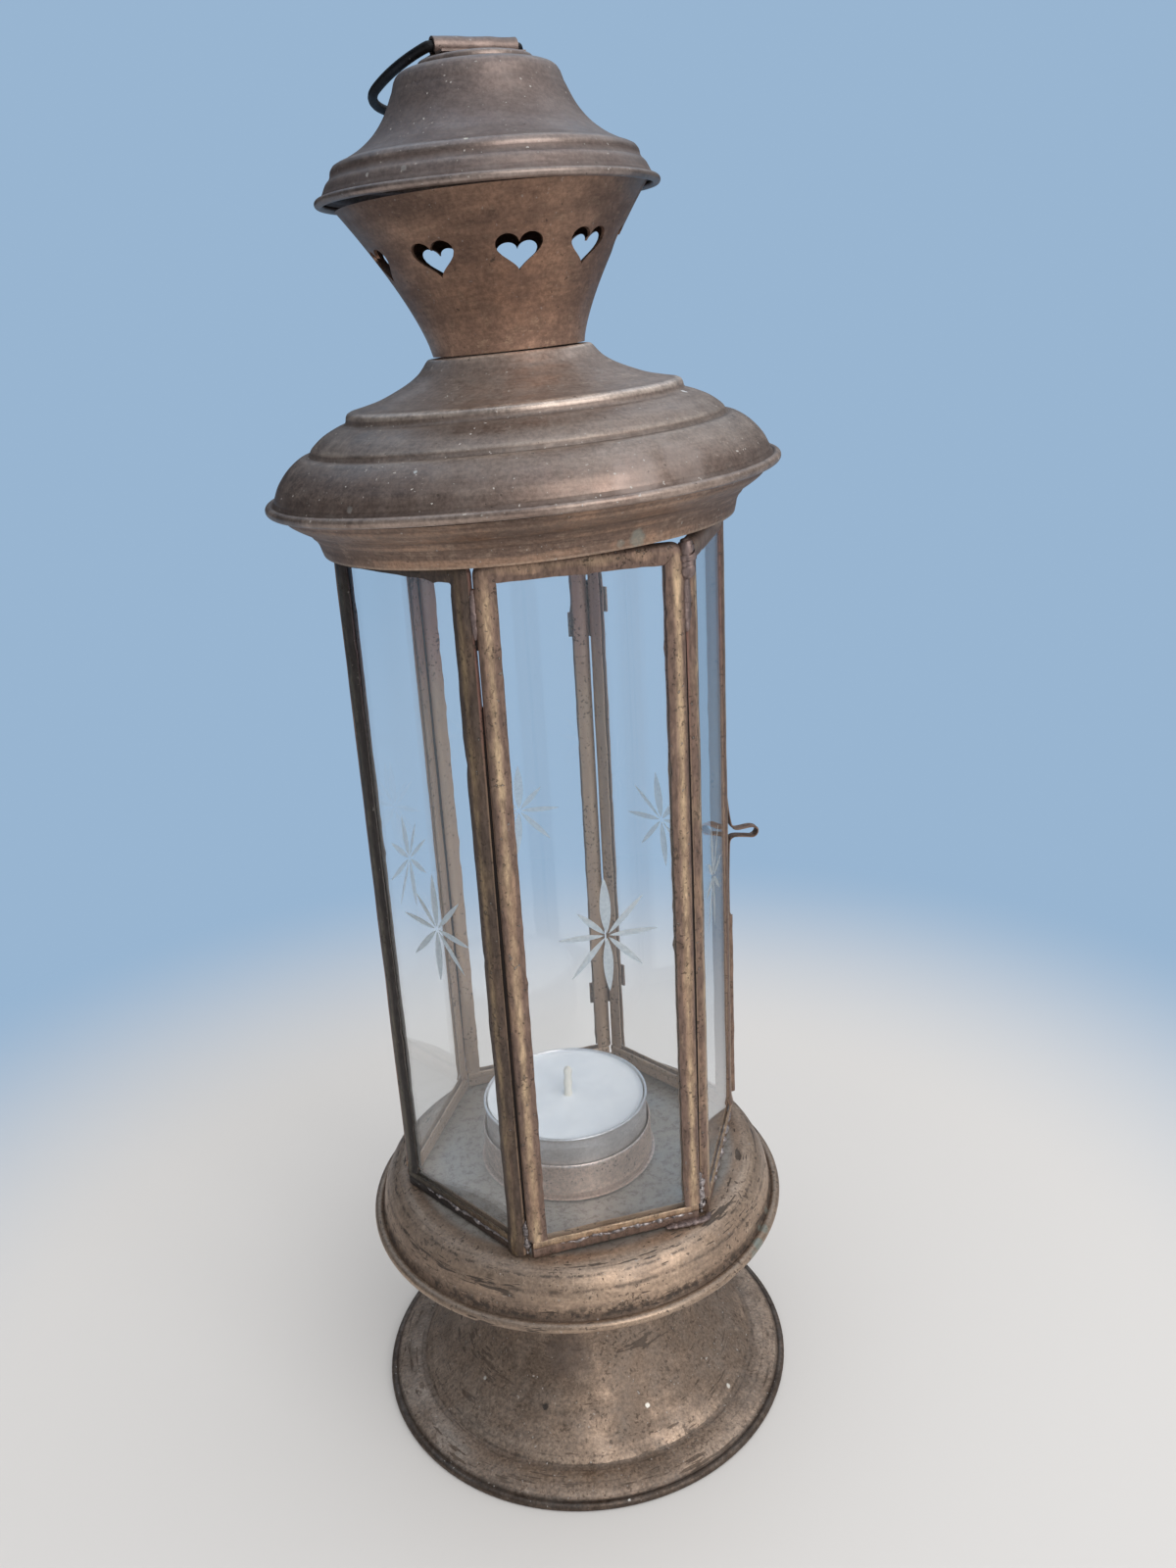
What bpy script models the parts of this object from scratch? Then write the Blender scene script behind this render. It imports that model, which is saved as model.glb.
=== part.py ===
"""Six-sided brass candle lantern.

A spun foot and dish carry six glazed panels, one of them a hinged door.
A two-shell roof, a pierced chimney neck, a bell cap and a wire bail stand above them.
Metres, +Z up, origin on the lantern's axis at the bottom of the foot.
Panel 0 faces -Y and the panels are numbered anticlockwise seen from above.
"""

import math

import bpy
import bmesh
from mathutils import Matrix, Vector

# Driving dimensions, in metres

SHEET = 0.0006
CLEAR = 0.0003
TURN_STEPS = 36

# Foot
FOOT_RIM_RADIUS = 0.0515
FOOT_BEAD = 0.0020
FOOT_REST_WIDTH = 0.0016
FOOT_RING_RADIUS = 0.0420
FOOT_RING_HEIGHT = 0.0034
FOOT_WAIST_RADIUS = 0.0178
FOOT_FLANGE_HOLE = 0.0110

# Dish
DISH_RIM_RADIUS = 0.0504
DISH_BEAD = 0.0018
DISH_RIM_HEIGHT = 0.0517
FLOOR_HEIGHT = 0.0624
FLOOR_MARGIN = 0.0004

# Panels
PANEL_COUNT = 6
CORNER_RADIUS = 0.0406
CORNER_GAP = 0.0008
CAME_WIDTH = 0.0040
CAME_LEG = 0.0004
CAME_HEEL = 0.0014
CAME_FOLD = 0.0026
FRAME_TOP = 0.2154
BOTTOM_RAIL_HEIGHT = 0.0042
BOTTOM_RAIL_SLOT = 0.0022
GLASS_THICKNESS = 0.0018
GLASS_PLAY = 0.00015
GLASS_END_PLAY = 0.0004

# Door
DOOR_PANEL = 2
DOOR_TOP_CLEARANCE = 0.0010
DOOR_BOTTOM_CLEARANCE = 0.0005
HINGE_PIN_RADIUS = 0.0006
HINGE_BORE_CLEARANCE = 0.00025
HINGE_BARREL_WALL = 0.0005
HINGE_LEAF_THICKNESS = 0.0005
HINGE_LEAF_REACH = 0.0050
KNUCKLE_HEIGHT = 0.0060
HINGE_HEIGHTS = {"upper": 0.1880, "lower": 0.0860}

# Latch
LATCH_THICKNESS = 0.0005
LATCH_WIDTH = 0.0024
LATCH_TOP = 0.1610
LATCH_ROOT = 0.1400
LATCH_TIP = 0.1183
LATCH_BULGE = 0.0014
LATCH_PULL_LENGTH = 0.0073
LATCH_PULL_HEIGHT = 0.0030
LATCH_TAIL_STANDOFF = 0.0006
SLEEVE_DEPTH = 0.0018

# Candle
CUP_OFFSET = (-0.0011, 0.0003)
SOCKET_WALL = 0.0005
SOCKET_HEIGHT = 0.0090
TEALIGHT_RADIUS = 0.0191
TEALIGHT_HEIGHT = 0.0150
TEALIGHT_WALL = 0.0003
TEALIGHT_PLAY = 0.0004
WAX_HEIGHT = 0.0132
WICK_RADIUS = 0.0009
WICK_HEIGHT = 0.0072
SUSTAINER_RADIUS = 0.0060

# Roof, measured up from the lower edge of the skirt
SKIRT_COVER = 0.0004
ROOF_LEAN = math.radians(2.8)
ROOF_LEAN_TOWARDS = math.radians(-13.0)
ROOF_SHIFT = -0.0008
SKIRT_BAND = 0.0042
SKIRT_STEP_RADIUS = 0.0437
DOME_RIM_RADIUS = 0.0519
DOME_RIM_RISE = 0.0101
DOME_BEAD = 0.00125
DOME_STEP_RADIUS = 0.0420
DOME_STEP_RISE = 0.0192
DOME_EDGE_RADIUS = 0.0334
DOME_EDGE_RISE = 0.0260
DOME_LIP_RADIUS = 0.0163
DOME_LIP_RISE = 0.0345
SEAT_RING_RADIUS = 0.0386
SEAT_RING_HOLE = 0.0270
SEAT_RING_THICKNESS = 0.0008

# Chimney neck and cap
NECK_FOOT_RADIUS = 0.0150
NECK_HEIGHT = 0.0272
NECK_TOP_RADIUS = 0.0295
HEART_COUNT = 9
HEART_WIDTH = 0.0082
HEART_HEIGHT = 0.0061
HEART_RISE = 0.0164
HEART_TURN = math.radians(-2.5)
HEART_DRIFT = 0.0005
STRAY_HEART = 1
STRAY_TURN = math.radians(-4.0)
CAP_RIM_RADIUS = 0.0326
CAP_BEAD = 0.0010
CAP_RIM_GAP = 0.0008
CAP_RIGHTED = math.radians(1.4)
CAP_SHIFT = -0.0006
CAP_SHOULDER_RADIUS = 0.0288
CAP_SHOULDER_RISE = 0.0056
CAP_TOP_RADIUS = 0.0152
CAP_HEIGHT = 0.0208

# Strap and bail
BOSS_RADIUS = 0.0108
BOSS_THICKNESS = 0.0013
STRAP_LENGTH = 0.0165
STRAP_FOOT = 0.0090
STRAP_THICKNESS = 0.00045
STRAP_TURN = math.radians(12.0)
WIRE_RADIUS = 0.00095
WIRE_PLAY = 0.00025
BAIL_HALF_WIDTH = 0.0126
BAIL_WIDEST = 0.0198
BAIL_DROP = 0.0333
BAIL_REST = math.radians(10.6)

# Values that follow from the ones above

SECTOR = 2.0 * math.pi / PANEL_COUNT
APOTHEM = CORNER_RADIUS * math.cos(SECTOR / 2.0)
CAME_DEPTH = GLASS_THICKNESS + 2.0 * (GLASS_PLAY + CAME_LEG)
EDGE_ROUND = CAME_DEPTH / 2.0
CORNER_SETBACK = (CAME_DEPTH + CORNER_GAP) / (2.0 * math.cos(SECTOR / 2.0))
PANEL_HALF = CORNER_RADIUS * math.sin(SECTOR / 2.0) - CORNER_SETBACK + EDGE_ROUND
CORNER_REACH = math.hypot(APOTHEM, PANEL_HALF - EDGE_ROUND) + EDGE_ROUND
RAIL_SETBACK = CAME_DEPTH / 2.0 * math.tan(SECTOR / 2.0) + CLEAR
RAIL_HALF = CORNER_RADIUS * math.sin(SECTOR / 2.0) - RAIL_SETBACK
PANEL_BOTTOM = FLOOR_HEIGHT + CLEAR
ROOF_HEIGHT = FRAME_TOP - SKIRT_COVER
SKIRT_INNER = CORNER_REACH + CLEAR
SKIRT_OUTER = SKIRT_INNER + SHEET
SOCKET_INNER = TEALIGHT_RADIUS + TEALIGHT_PLAY
SOCKET_BASE = FLOOR_HEIGHT + CLEAR
TEALIGHT_BASE = SOCKET_BASE + SOCKET_WALL + CLEAR
NECK_RISE = DOME_LIP_RISE + CLEAR
CAP_RIM_RISE = NECK_RISE + NECK_HEIGHT + CAP_RIM_GAP
BOSS_RISE = CAP_HEIGHT + CLEAR
STRAP_RISE = BOSS_RISE + BOSS_THICKNESS + CLEAR
STRAP_BORE = WIRE_RADIUS + WIRE_PLAY
STRAP_OUTER = STRAP_BORE + STRAP_THICKNESS
BAIL_RISE = STRAP_RISE + STRAP_OUTER
HINGE_BORE = HINGE_PIN_RADIUS + HINGE_BORE_CLEARANCE
HINGE_BARREL = HINGE_BORE + HINGE_BARREL_WALL

# Scene and collections


def clear_scene():
    """Remove every object that the file opened with."""
    for obj in list(bpy.data.objects):
        bpy.data.objects.remove(obj, do_unlink=True)


def make_collection(name):
    """Make a collection under the scene's own one."""
    collection = bpy.data.collections.new(name)
    bpy.context.scene.collection.children.link(collection)
    return collection


clear_scene()
PARTS = make_collection("brass_lantern")
CUTTERS = make_collection("cutters")

# Materials


def make_material(name, colour, roughness, metallic, transmission=0.0):
    """Make one Principled material."""
    material = bpy.data.materials.new(name)
    material.use_nodes = True
    shader = material.node_tree.nodes["Principled BSDF"]
    shader.inputs["Base Color"].default_value = (*colour, 1.0)
    shader.inputs["Roughness"].default_value = roughness
    shader.inputs["Metallic"].default_value = metallic
    shader.inputs["Transmission Weight"].default_value = transmission
    material.diffuse_color = (*colour, 1.0)
    return material


ROOF_BRASS = ("roof_brass", (0.215, 0.178, 0.152), 0.46, 0.85)
NECK_BRASS = ("neck_brass", (0.190, 0.130, 0.085), 0.50, 0.80)
FRAME_BRASS = ("frame_brass", (0.300, 0.215, 0.130), 0.42, 0.85)
DISH_BRASS = ("dish_brass", (0.340, 0.260, 0.180), 0.45, 0.85)
DARK_WIRE = ("dark_wire", (0.020, 0.022, 0.028), 0.45, 0.60)
CLEAR_GLASS = ("clear_glass", (0.920, 0.960, 0.950), 0.03, 0.0, 1.0)
ALUMINIUM = ("tealight_aluminium", (0.720, 0.730, 0.750), 0.30, 1.0)
WAX = ("wax", (0.860, 0.860, 0.860), 0.40, 0.0)
COTTON = ("wick_cotton", (0.700, 0.620, 0.430), 0.90, 0.0)


def finish_object(obj, material, parent=None, location=(0.0, 0.0, 0.0), turn=0.0, angle=35.0):
    """Put a finished piece in the lantern's collection with its own material."""
    PARTS.objects.link(obj)
    obj.data.materials.clear()
    obj.data.materials.append(make_material(obj.name + "_" + material[0], *material[1:]))
    obj.parent = parent
    obj.location = location
    obj.rotation_euler = (0.0, 0.0, turn)
    obj.data.shade_smooth()
    obj.data.set_sharp_from_angle(angle=math.radians(angle))
    return obj


def make_empty(name, location, rotation=None, parent=None):
    """Make an empty that carries pieces and marks an axis or a seat."""
    empty = bpy.data.objects.new(name, None)
    empty.empty_display_size = 0.01
    PARTS.objects.link(empty)
    empty.parent = parent
    empty.location = location
    if rotation is not None:
        empty.rotation_mode = "QUATERNION"
        empty.rotation_quaternion = rotation
    return empty


# Shape helpers


def arc(centre, radius, start, end, count):
    """Points along an arc, from the start angle to the end angle in degrees."""
    points = []
    for i in range(count):
        angle = math.radians(start + (end - start) * i / (count - 1))
        points.append((centre[0] + radius * math.cos(angle), centre[1] + radius * math.sin(angle)))
    return points


def inner_line(outer, wall):
    """The line one wall inside an outer line that runs from top to bottom."""
    inner = []
    for i, point in enumerate(outer):
        before = outer[max(i - 1, 0)]
        after = outer[min(i + 1, len(outer) - 1)]
        along = Vector((after[0] - before[0], after[1] - before[1])).normalized()
        inner.append((point[0] + along.y * wall, point[1] - along.x * wall))
    return inner


def spun_profile(outer, wall, bead=None, bead_radius=0.0, closed_top=False, rest_width=0.0):
    """A sheet's closed profile: down the outside, round the rim bead and up the inside.

    The sheet ends in the side of the bead, which is a full turn of wire in the rim.
    A closed top ends on the axis, and an open one in the sheet's own edge.
    A bead that stands on the ground has a level flat of the rest width under it.
    """
    inner = inner_line(outer, wall)
    if closed_top:
        inner[0] = (0.0, outer[0][1] - wall)
    profile = list(outer)
    if bead is not None:
        end = Vector(outer[-1]) - Vector(bead)
        begin = Vector(inner[-1]) - Vector(bead)
        start = math.degrees(math.atan2(end.y, end.x))
        stop = math.degrees(math.atan2(begin.y, begin.x))
        while stop > start:
            stop -= 360.0
        if rest_width > 0.0:
            flat = math.degrees(math.asin(rest_width / (2.0 * bead_radius)))
            ring = arc(bead, bead_radius, start, -90.0 + flat, 5)
            ring += arc(bead, bead_radius, -90.0 - flat, stop, 3)
        else:
            ring = arc(bead, bead_radius, start, stop, 7)
        profile = profile[:-1] + ring
        inner = inner[:-1]
    return profile + list(reversed(inner))


def turned(name, profile, material, parent=None, location=(0.0, 0.0, 0.0), steps=TURN_STEPS):
    """Turn a profile of (radius, height) points, listed down its outer side, about +Z."""
    mesh = bpy.data.meshes.new(name)
    build = bmesh.new()
    on_axis = abs(profile[0][0]) < 1e-9 and abs(profile[-1][0]) < 1e-9
    verts = [build.verts.new((radius, 0.0, height)) for radius, height in profile]
    for first, second in zip(verts, verts[1:]):
        build.edges.new((first, second))
    if not on_axis:
        build.edges.new((verts[-1], verts[0]))
    build.to_mesh(mesh)
    build.free()
    obj = bpy.data.objects.new(name, mesh)
    screw = obj.modifiers.new("Turn", "SCREW")
    screw.axis = "Z"
    screw.angle = 2.0 * math.pi
    screw.steps = steps
    screw.render_steps = steps
    screw.use_merge_vertices = True
    screw.merge_threshold = 0.000001
    screw.use_smooth_shade = True
    return finish_object(obj, material, parent, location)


def outline_mesh(name, outline, depth, holes=(), resolution=1):
    """Fill a flat outline, with holes, to a plate of the given depth centred on its plane."""
    curve = bpy.data.curves.new(name, "CURVE")
    curve.dimensions = "2D"
    curve.fill_mode = "BOTH"
    curve.extrude = depth / 2.0
    curve.resolution_u = resolution
    for points in (outline, *holes):
        spline = curve.splines.new("POLY")
        spline.points.add(len(points) - 1)
        for slot, point in zip(spline.points, points):
            slot.co = (point[0], point[1], 0.0, 1.0)
        spline.use_cyclic_u = True
    source = bpy.data.objects.new(name, curve)
    CUTTERS.objects.link(source)
    return curve_to_mesh(source, name)


def curve_to_mesh(source, name):
    """Turn a curve object into a mesh with welded caps, and remove the curve."""
    bpy.context.view_layer.update()
    graph = bpy.context.evaluated_depsgraph_get()
    mesh = bpy.data.meshes.new_from_object(source.evaluated_get(graph), depsgraph=graph)
    mesh.name = name
    build = bmesh.new()
    build.from_mesh(mesh)
    bmesh.ops.remove_doubles(build, verts=build.verts, dist=0.000002)
    build.transform(source.matrix_world)
    bmesh.ops.recalc_face_normals(build, faces=build.faces)
    build.to_mesh(mesh)
    build.free()
    curve = source.data
    bpy.data.objects.remove(source, do_unlink=True)
    bpy.data.curves.remove(curve)
    return mesh


def stand_up(mesh):
    """Turn a plate drawn in XY so that its second axis points up and its depth lies along Y."""
    mesh.transform(Matrix.Rotation(math.radians(90.0), 4, "X"))
    return mesh


def box_mesh(name, low, high):
    """A box between two corners."""
    mesh = bpy.data.meshes.new(name)
    build = bmesh.new()
    size = [b - a for a, b in zip(low, high)]
    centre = [(a + b) / 2.0 for a, b in zip(low, high)]
    bmesh.ops.create_cube(build, size=1.0)
    bmesh.ops.scale(build, vec=size, verts=build.verts)
    bmesh.ops.translate(build, vec=centre, verts=build.verts)
    build.to_mesh(mesh)
    build.free()
    return mesh


def make_cutter(name, mesh, parent=None, location=(0.0, 0.0, 0.0), turn=0.0):
    """A cutter that is drawn as wire and left out of the part."""
    obj = bpy.data.objects.new(name, mesh)
    CUTTERS.objects.link(obj)
    obj.hide_render = True
    obj.display_type = "WIRE"
    obj.parent = parent
    obj.location = location
    obj.rotation_euler = (0.0, 0.0, turn)
    return obj


def cut(obj, cutter):
    """Subtract a cutter from a piece."""
    step = obj.modifiers.new("Cut " + cutter.name, "BOOLEAN")
    step.operation = "DIFFERENCE"
    step.solver = "EXACT"
    step.object = cutter


def polar(radius, angle, height=0.0):
    """A point at an angle measured from -Y towards +X."""
    return (radius * math.sin(angle), -radius * math.cos(angle), height)


# Foot: rolled rim, low apron, a ring, then a trumpet up to the flange under the dish


def foot_profile():
    """The foot's outer line from its top flange down to its rolled rim."""
    bead_height = math.sqrt(FOOT_BEAD ** 2 - (FOOT_REST_WIDTH / 2.0) ** 2)
    bead = (FOOT_RIM_RADIUS - FOOT_BEAD, bead_height)
    top = FLOOR_HEIGHT - SHEET - CLEAR
    flange_edge = FOOT_WAIST_RADIUS + 0.0004
    outer = [(FOOT_FLANGE_HOLE, top), (flange_edge - 0.0006, top), (flange_edge, top - 0.0006)]
    ring = (FOOT_RING_RADIUS, FOOT_RING_HEIGHT)
    waist_height = top - 0.0110
    for i in range(6):
        share = i / 5.0
        radius = FOOT_WAIST_RADIUS + (ring[0] - FOOT_WAIST_RADIUS) * share ** 1.9
        height = waist_height + (ring[1] + 0.0008 - waist_height) * share ** 0.72
        outer.append((radius, height))
    outer.append((ring[0] + 0.0005, ring[1] - 0.0002))
    outer.append((bead[0] - 0.0030, bead[1] + 0.0012))
    outer.append((bead[0] - FOOT_BEAD * 0.75, bead[1] + FOOT_BEAD * 0.66))
    return spun_profile(outer, SHEET, bead, FOOT_BEAD, rest_width=FOOT_REST_WIDTH)


turned("foot_shell", foot_profile(), DISH_BRASS)

# Dish: flat floor, rounded shoulder, groove and rolled rim


def dish_profile():
    """The dish's upper line from the axis out to its rolled rim."""
    bead = (DISH_RIM_RADIUS - DISH_BEAD, DISH_RIM_HEIGHT)
    edge = CORNER_REACH + FLOOR_MARGIN
    groove = (bead[0] - DISH_BEAD * 0.85, bead[1] + DISH_BEAD * 0.53)
    outer = [(0.0, FLOOR_HEIGHT), (edge, FLOOR_HEIGHT)]
    reach = groove[0] - edge
    fall = FLOOR_HEIGHT - groove[1]
    for i in range(1, 6):
        angle = math.radians(90.0 * i / 6.0)
        outer.append((edge + reach * math.sin(angle), FLOOR_HEIGHT - fall * (1.0 - math.cos(angle))))
    outer.append(groove)
    return spun_profile(outer, SHEET, bead, DISH_BEAD, closed_top=True)


turned("dish_shell", dish_profile(), DISH_BRASS)

# Candle socket and the tealight that lifts out of it

socket_centre = (CUP_OFFSET[0], CUP_OFFSET[1], SOCKET_BASE)
socket_outer = SOCKET_INNER + SOCKET_WALL
turned(
    "candle_socket",
    [
        (0.0, SOCKET_WALL),
        (SOCKET_INNER, SOCKET_WALL),
        (SOCKET_INNER, SOCKET_HEIGHT),
        (socket_outer, SOCKET_HEIGHT),
        (socket_outer, 0.0),
        (0.0, 0.0),
    ],
    NECK_BRASS,
    location=socket_centre,
)

tealight = make_empty("tealight_seat", (CUP_OFFSET[0], CUP_OFFSET[1], TEALIGHT_BASE))
tealight_inner = TEALIGHT_RADIUS - TEALIGHT_WALL
turned(
    "tealight_cup",
    [
        (0.0, TEALIGHT_WALL),
        (tealight_inner, TEALIGHT_WALL),
        (tealight_inner, TEALIGHT_HEIGHT),
        (TEALIGHT_RADIUS, TEALIGHT_HEIGHT),
        (TEALIGHT_RADIUS, 0.0),
        (0.0, 0.0),
    ],
    ALUMINIUM,
    parent=tealight,
)
sustainer_base = TEALIGHT_WALL + CLEAR
sustainer_top = sustainer_base + 0.0004
wick_hole = WICK_RADIUS + CLEAR
turned(
    "tealight_sustainer",
    [
        (wick_hole, sustainer_top),
        (SUSTAINER_RADIUS, sustainer_top),
        (SUSTAINER_RADIUS, sustainer_base),
        (wick_hole, sustainer_base),
    ],
    ALUMINIUM,
    parent=tealight,
    steps=24,
)
wax_radius = tealight_inner - CLEAR
wax_base = sustainer_top + CLEAR
wax_top = TEALIGHT_WALL + WAX_HEIGHT
turned(
    "tealight_wax",
    [
        (wick_hole, wax_top),
        (wax_radius - 0.0004, wax_top),
        (wax_radius, wax_top - 0.0004),
        (wax_radius, wax_base),
        (wick_hole, wax_base),
    ],
    WAX,
    parent=tealight,
)
wick_top = wax_top + WICK_HEIGHT
turned(
    "tealight_wick",
    [
        (0.0, wick_top),
        (WICK_RADIUS * 0.6, wick_top - 0.0001),
        (WICK_RADIUS, wick_top - 0.0006),
        (WICK_RADIUS, sustainer_base),
        (0.0, sustainer_base),
    ],
    COTTON,
    parent=tealight,
    steps=12,
)

# Panels: a came folded round the top and both sides, a bottom rail and a pane


def came_outline(bottom, top):
    """The came seen from in front: a narrow arch with folded corners."""
    half = PANEL_HALF
    fold = CAME_FOLD
    inside = half - CAME_WIDTH
    outline = [(-half, bottom)]
    outline += arc((-half + fold, top - fold), fold, 180.0, 90.0, 4)
    outline += arc((half - fold, top - fold), fold, 90.0, 0.0, 4)
    outline += [(half, bottom), (inside, bottom), (inside, top - CAME_WIDTH)]
    outline += [(-inside, top - CAME_WIDTH), (-inside, bottom)]
    return outline


def round_outer_edges(mesh, keep, radius):
    """Round the long edges of a plate whose both ends pass the given test."""
    build = bmesh.new()
    build.from_mesh(mesh)
    flat_angle = math.radians(1.0)
    bmesh.ops.dissolve_limit(build, angle_limit=flat_angle, verts=build.verts, edges=build.edges)
    edges = []
    for edge in build.edges:
        first, second = edge.verts
        flat = abs(first.co.y - second.co.y) < 1e-7
        if flat and keep(first.co) and keep(second.co):
            edges.append(edge)
    bmesh.ops.bevel(
        build,
        geom=edges,
        offset=radius,
        offset_type="OFFSET",
        segments=3,
        profile=0.5,
        affect="EDGES",
        clamp_overlap=True,
    )
    build.to_mesh(mesh)
    build.free()


def make_panel(name, index, parent, origin, top, bottom):
    """Make one glazed panel: came, bottom rail and pane, facing -Y before it is turned."""
    turn = index * SECTOR
    place = Vector(polar(APOTHEM, turn)) - Vector(origin)
    half = PANEL_HALF
    rail_top = bottom + BOTTOM_RAIL_HEIGHT
    came_bottom = rail_top + CLEAR
    slot_half = GLASS_THICKNESS / 2.0 + GLASS_PLAY
    slot_reach = half - CAME_HEEL
    bevel = EDGE_ROUND - 0.0001

    came = stand_up(outline_mesh(name + "_came", came_outline(came_bottom, top), CAME_DEPTH))
    inside = half - CAME_WIDTH
    under = top - CAME_WIDTH

    def on_outside(point):
        return abs(point.x) > inside + 0.0005 or point.z > under + 0.0005

    round_outer_edges(came, on_outside, bevel)
    came_obj = bpy.data.objects.new(name + "_came", came)
    finish_object(came_obj, FRAME_BRASS, parent, place, turn)
    came_slot = box_mesh(
        name + "_came_slot",
        (-slot_reach, -slot_half, came_bottom - 0.002),
        (slot_reach, slot_half, top - CAME_HEEL),
    )
    cut(came_obj, make_cutter(name + "_came_slot", came_slot, parent, place, turn))

    rail = box_mesh(
        name + "_rail",
        (-RAIL_HALF, -CAME_DEPTH / 2.0, bottom),
        (RAIL_HALF, CAME_DEPTH / 2.0, rail_top),
    )
    edges = bmesh.new()
    edges.from_mesh(rail)
    lower = [e for e in edges.edges if all(v.co.z < bottom + 1e-6 for v in e.verts)]
    long_lower = [e for e in lower if abs(e.verts[0].co.x - e.verts[1].co.x) > RAIL_HALF]
    bmesh.ops.bevel(edges, geom=long_lower, offset=0.0006, segments=2, profile=0.5, affect="EDGES")
    edges.to_mesh(rail)
    edges.free()
    rail_obj = bpy.data.objects.new(name + "_bottom_rail", rail)
    finish_object(rail_obj, FRAME_BRASS, parent, place, turn)
    rail_slot = box_mesh(
        name + "_rail_slot",
        (-half - 0.002, -slot_half, rail_top - BOTTOM_RAIL_SLOT),
        (half + 0.002, slot_half, rail_top + 0.002),
    )
    cut(rail_obj, make_cutter(name + "_rail_slot", rail_slot, parent, place, turn))

    pane = box_mesh(
        name + "_glass",
        (
            -slot_reach + GLASS_END_PLAY,
            -GLASS_THICKNESS / 2.0,
            rail_top - BOTTOM_RAIL_SLOT + GLASS_END_PLAY,
        ),
        (
            slot_reach - GLASS_END_PLAY,
            GLASS_THICKNESS / 2.0,
            top - CAME_HEEL - GLASS_END_PLAY,
        ),
    )
    pane_obj = bpy.data.objects.new(name + "_glass", pane)
    finish_object(pane_obj, CLEAR_GLASS, parent, place, turn)


PANEL_NAMES = ["front", "right", "door", "back", "back_left", "left"]

# Door axis: a pin outside the corner between the door and the back panel

hinge_angle = (DOOR_PANEL + 0.5) * SECTOR
round_radial = CORNER_RADIUS - CORNER_SETBACK * math.sin(SECTOR / 2.0)
round_lateral = CORNER_SETBACK * math.cos(SECTOR / 2.0)
hinge_spread = EDGE_ROUND + HINGE_BARREL + CLEAR
HINGE_RADIUS = round_radial + math.sqrt(hinge_spread ** 2 - round_lateral ** 2)
hinge_origin = polar(HINGE_RADIUS, hinge_angle)
door_axis = make_empty("door_axis", hinge_origin)

for panel_index, panel_name in enumerate(PANEL_NAMES):
    if panel_index == DOOR_PANEL:
        door_top = FRAME_TOP - DOOR_TOP_CLEARANCE
        door_bottom = PANEL_BOTTOM + DOOR_BOTTOM_CLEARANCE
        make_panel(panel_name, panel_index, door_axis, hinge_origin, door_top, door_bottom)
    else:
        make_panel(panel_name, panel_index, None, (0.0, 0.0, 0.0), FRAME_TOP, PANEL_BOTTOM)

# Hinges: a rolled barrel with a flat leaf on each stile, and a pin


def leaf_outline(side):
    """A hinge leaf in plan, about the pin: side is 1 for the door and -1 for the back panel.

    Along is measured away from the corner on the panel's plane and off is square to it.
    """
    half_sector = SECTOR / 2.0
    offset = HINGE_RADIUS - CORNER_RADIUS
    centre_off = offset * math.cos(half_sector)
    centre_along = -offset * math.sin(half_sector)
    low = EDGE_ROUND + CLEAR - centre_off
    high = low + HINGE_LEAF_THICKNESS
    reach = HINGE_LEAF_REACH - centre_along
    start = math.degrees(math.asin(low / HINGE_BARREL))
    stop = math.degrees(math.asin(high / HINGE_BARREL))
    points = [(reach, high), (reach, low)]
    points += arc((0.0, 0.0), HINGE_BARREL, start, stop - 360.0, 14)
    hole = arc((0.0, 0.0), HINGE_BORE, 0.0, -360.0 + 360.0 / 12.0, 12)

    def placed(point):
        along, off = point
        # The corner's outward direction is +X here, and the door lies towards -Y
        radial = off * math.cos(half_sector) - along * math.sin(half_sector)
        lateral = off * math.sin(half_sector) + along * math.cos(half_sector)
        return (radial, -side * lateral)

    return [placed(p) for p in points], [placed(p) for p in hole]


corner_turn = hinge_angle - math.radians(90.0)
for hinge_name, hinge_height in HINGE_HEIGHTS.items():
    for side, owner in ((1, "door"), (-1, "fixed")):
        plan, bore = leaf_outline(side)
        leaf = outline_mesh("hinge_" + hinge_name + "_" + owner, plan, KNUCKLE_HEIGHT, [bore])
        leaf_obj = bpy.data.objects.new("hinge_" + hinge_name + "_" + owner, leaf)
        rise = hinge_height + side * (KNUCKLE_HEIGHT + CLEAR) / 2.0
        if side == 1:
            finish_object(leaf_obj, FRAME_BRASS, door_axis, (0.0, 0.0, rise), corner_turn)
        else:
            seat = (hinge_origin[0], hinge_origin[1], rise)
            finish_object(leaf_obj, FRAME_BRASS, None, seat, corner_turn)
    knuckles = KNUCKLE_HEIGHT + CLEAR / 2.0
    head = HINGE_BARREL - 0.0001
    turned(
        "hinge_" + hinge_name + "_pin",
        [
            (0.0, knuckles + CLEAR + 0.0007),
            (head - 0.0003, knuckles + CLEAR + 0.0007),
            (head, knuckles + CLEAR + 0.0004),
            (head, knuckles + CLEAR),
            (HINGE_PIN_RADIUS, knuckles + CLEAR),
            (HINGE_PIN_RADIUS, -knuckles - 0.0004),
            (0.0, -knuckles - 0.0004),
        ],
        DARK_WIRE,
        location=(hinge_origin[0], hinge_origin[1], hinge_height),
        steps=12,
    )

# Latch: a strip down the door's free edge, folded out to a finger pull, between two sleeves
# The free edge is at the corner on +X, and the door lies towards +Y

free_angle = (DOOR_PANEL - 0.5) * SECTOR
free_turn = free_angle - math.radians(90.0)
free_edge = round_radial + EDGE_ROUND
strip_face = free_edge + CLEAR
strip_low = CORNER_GAP / 2.0
strip_middle = strip_low + LATCH_WIDTH / 2.0


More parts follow.
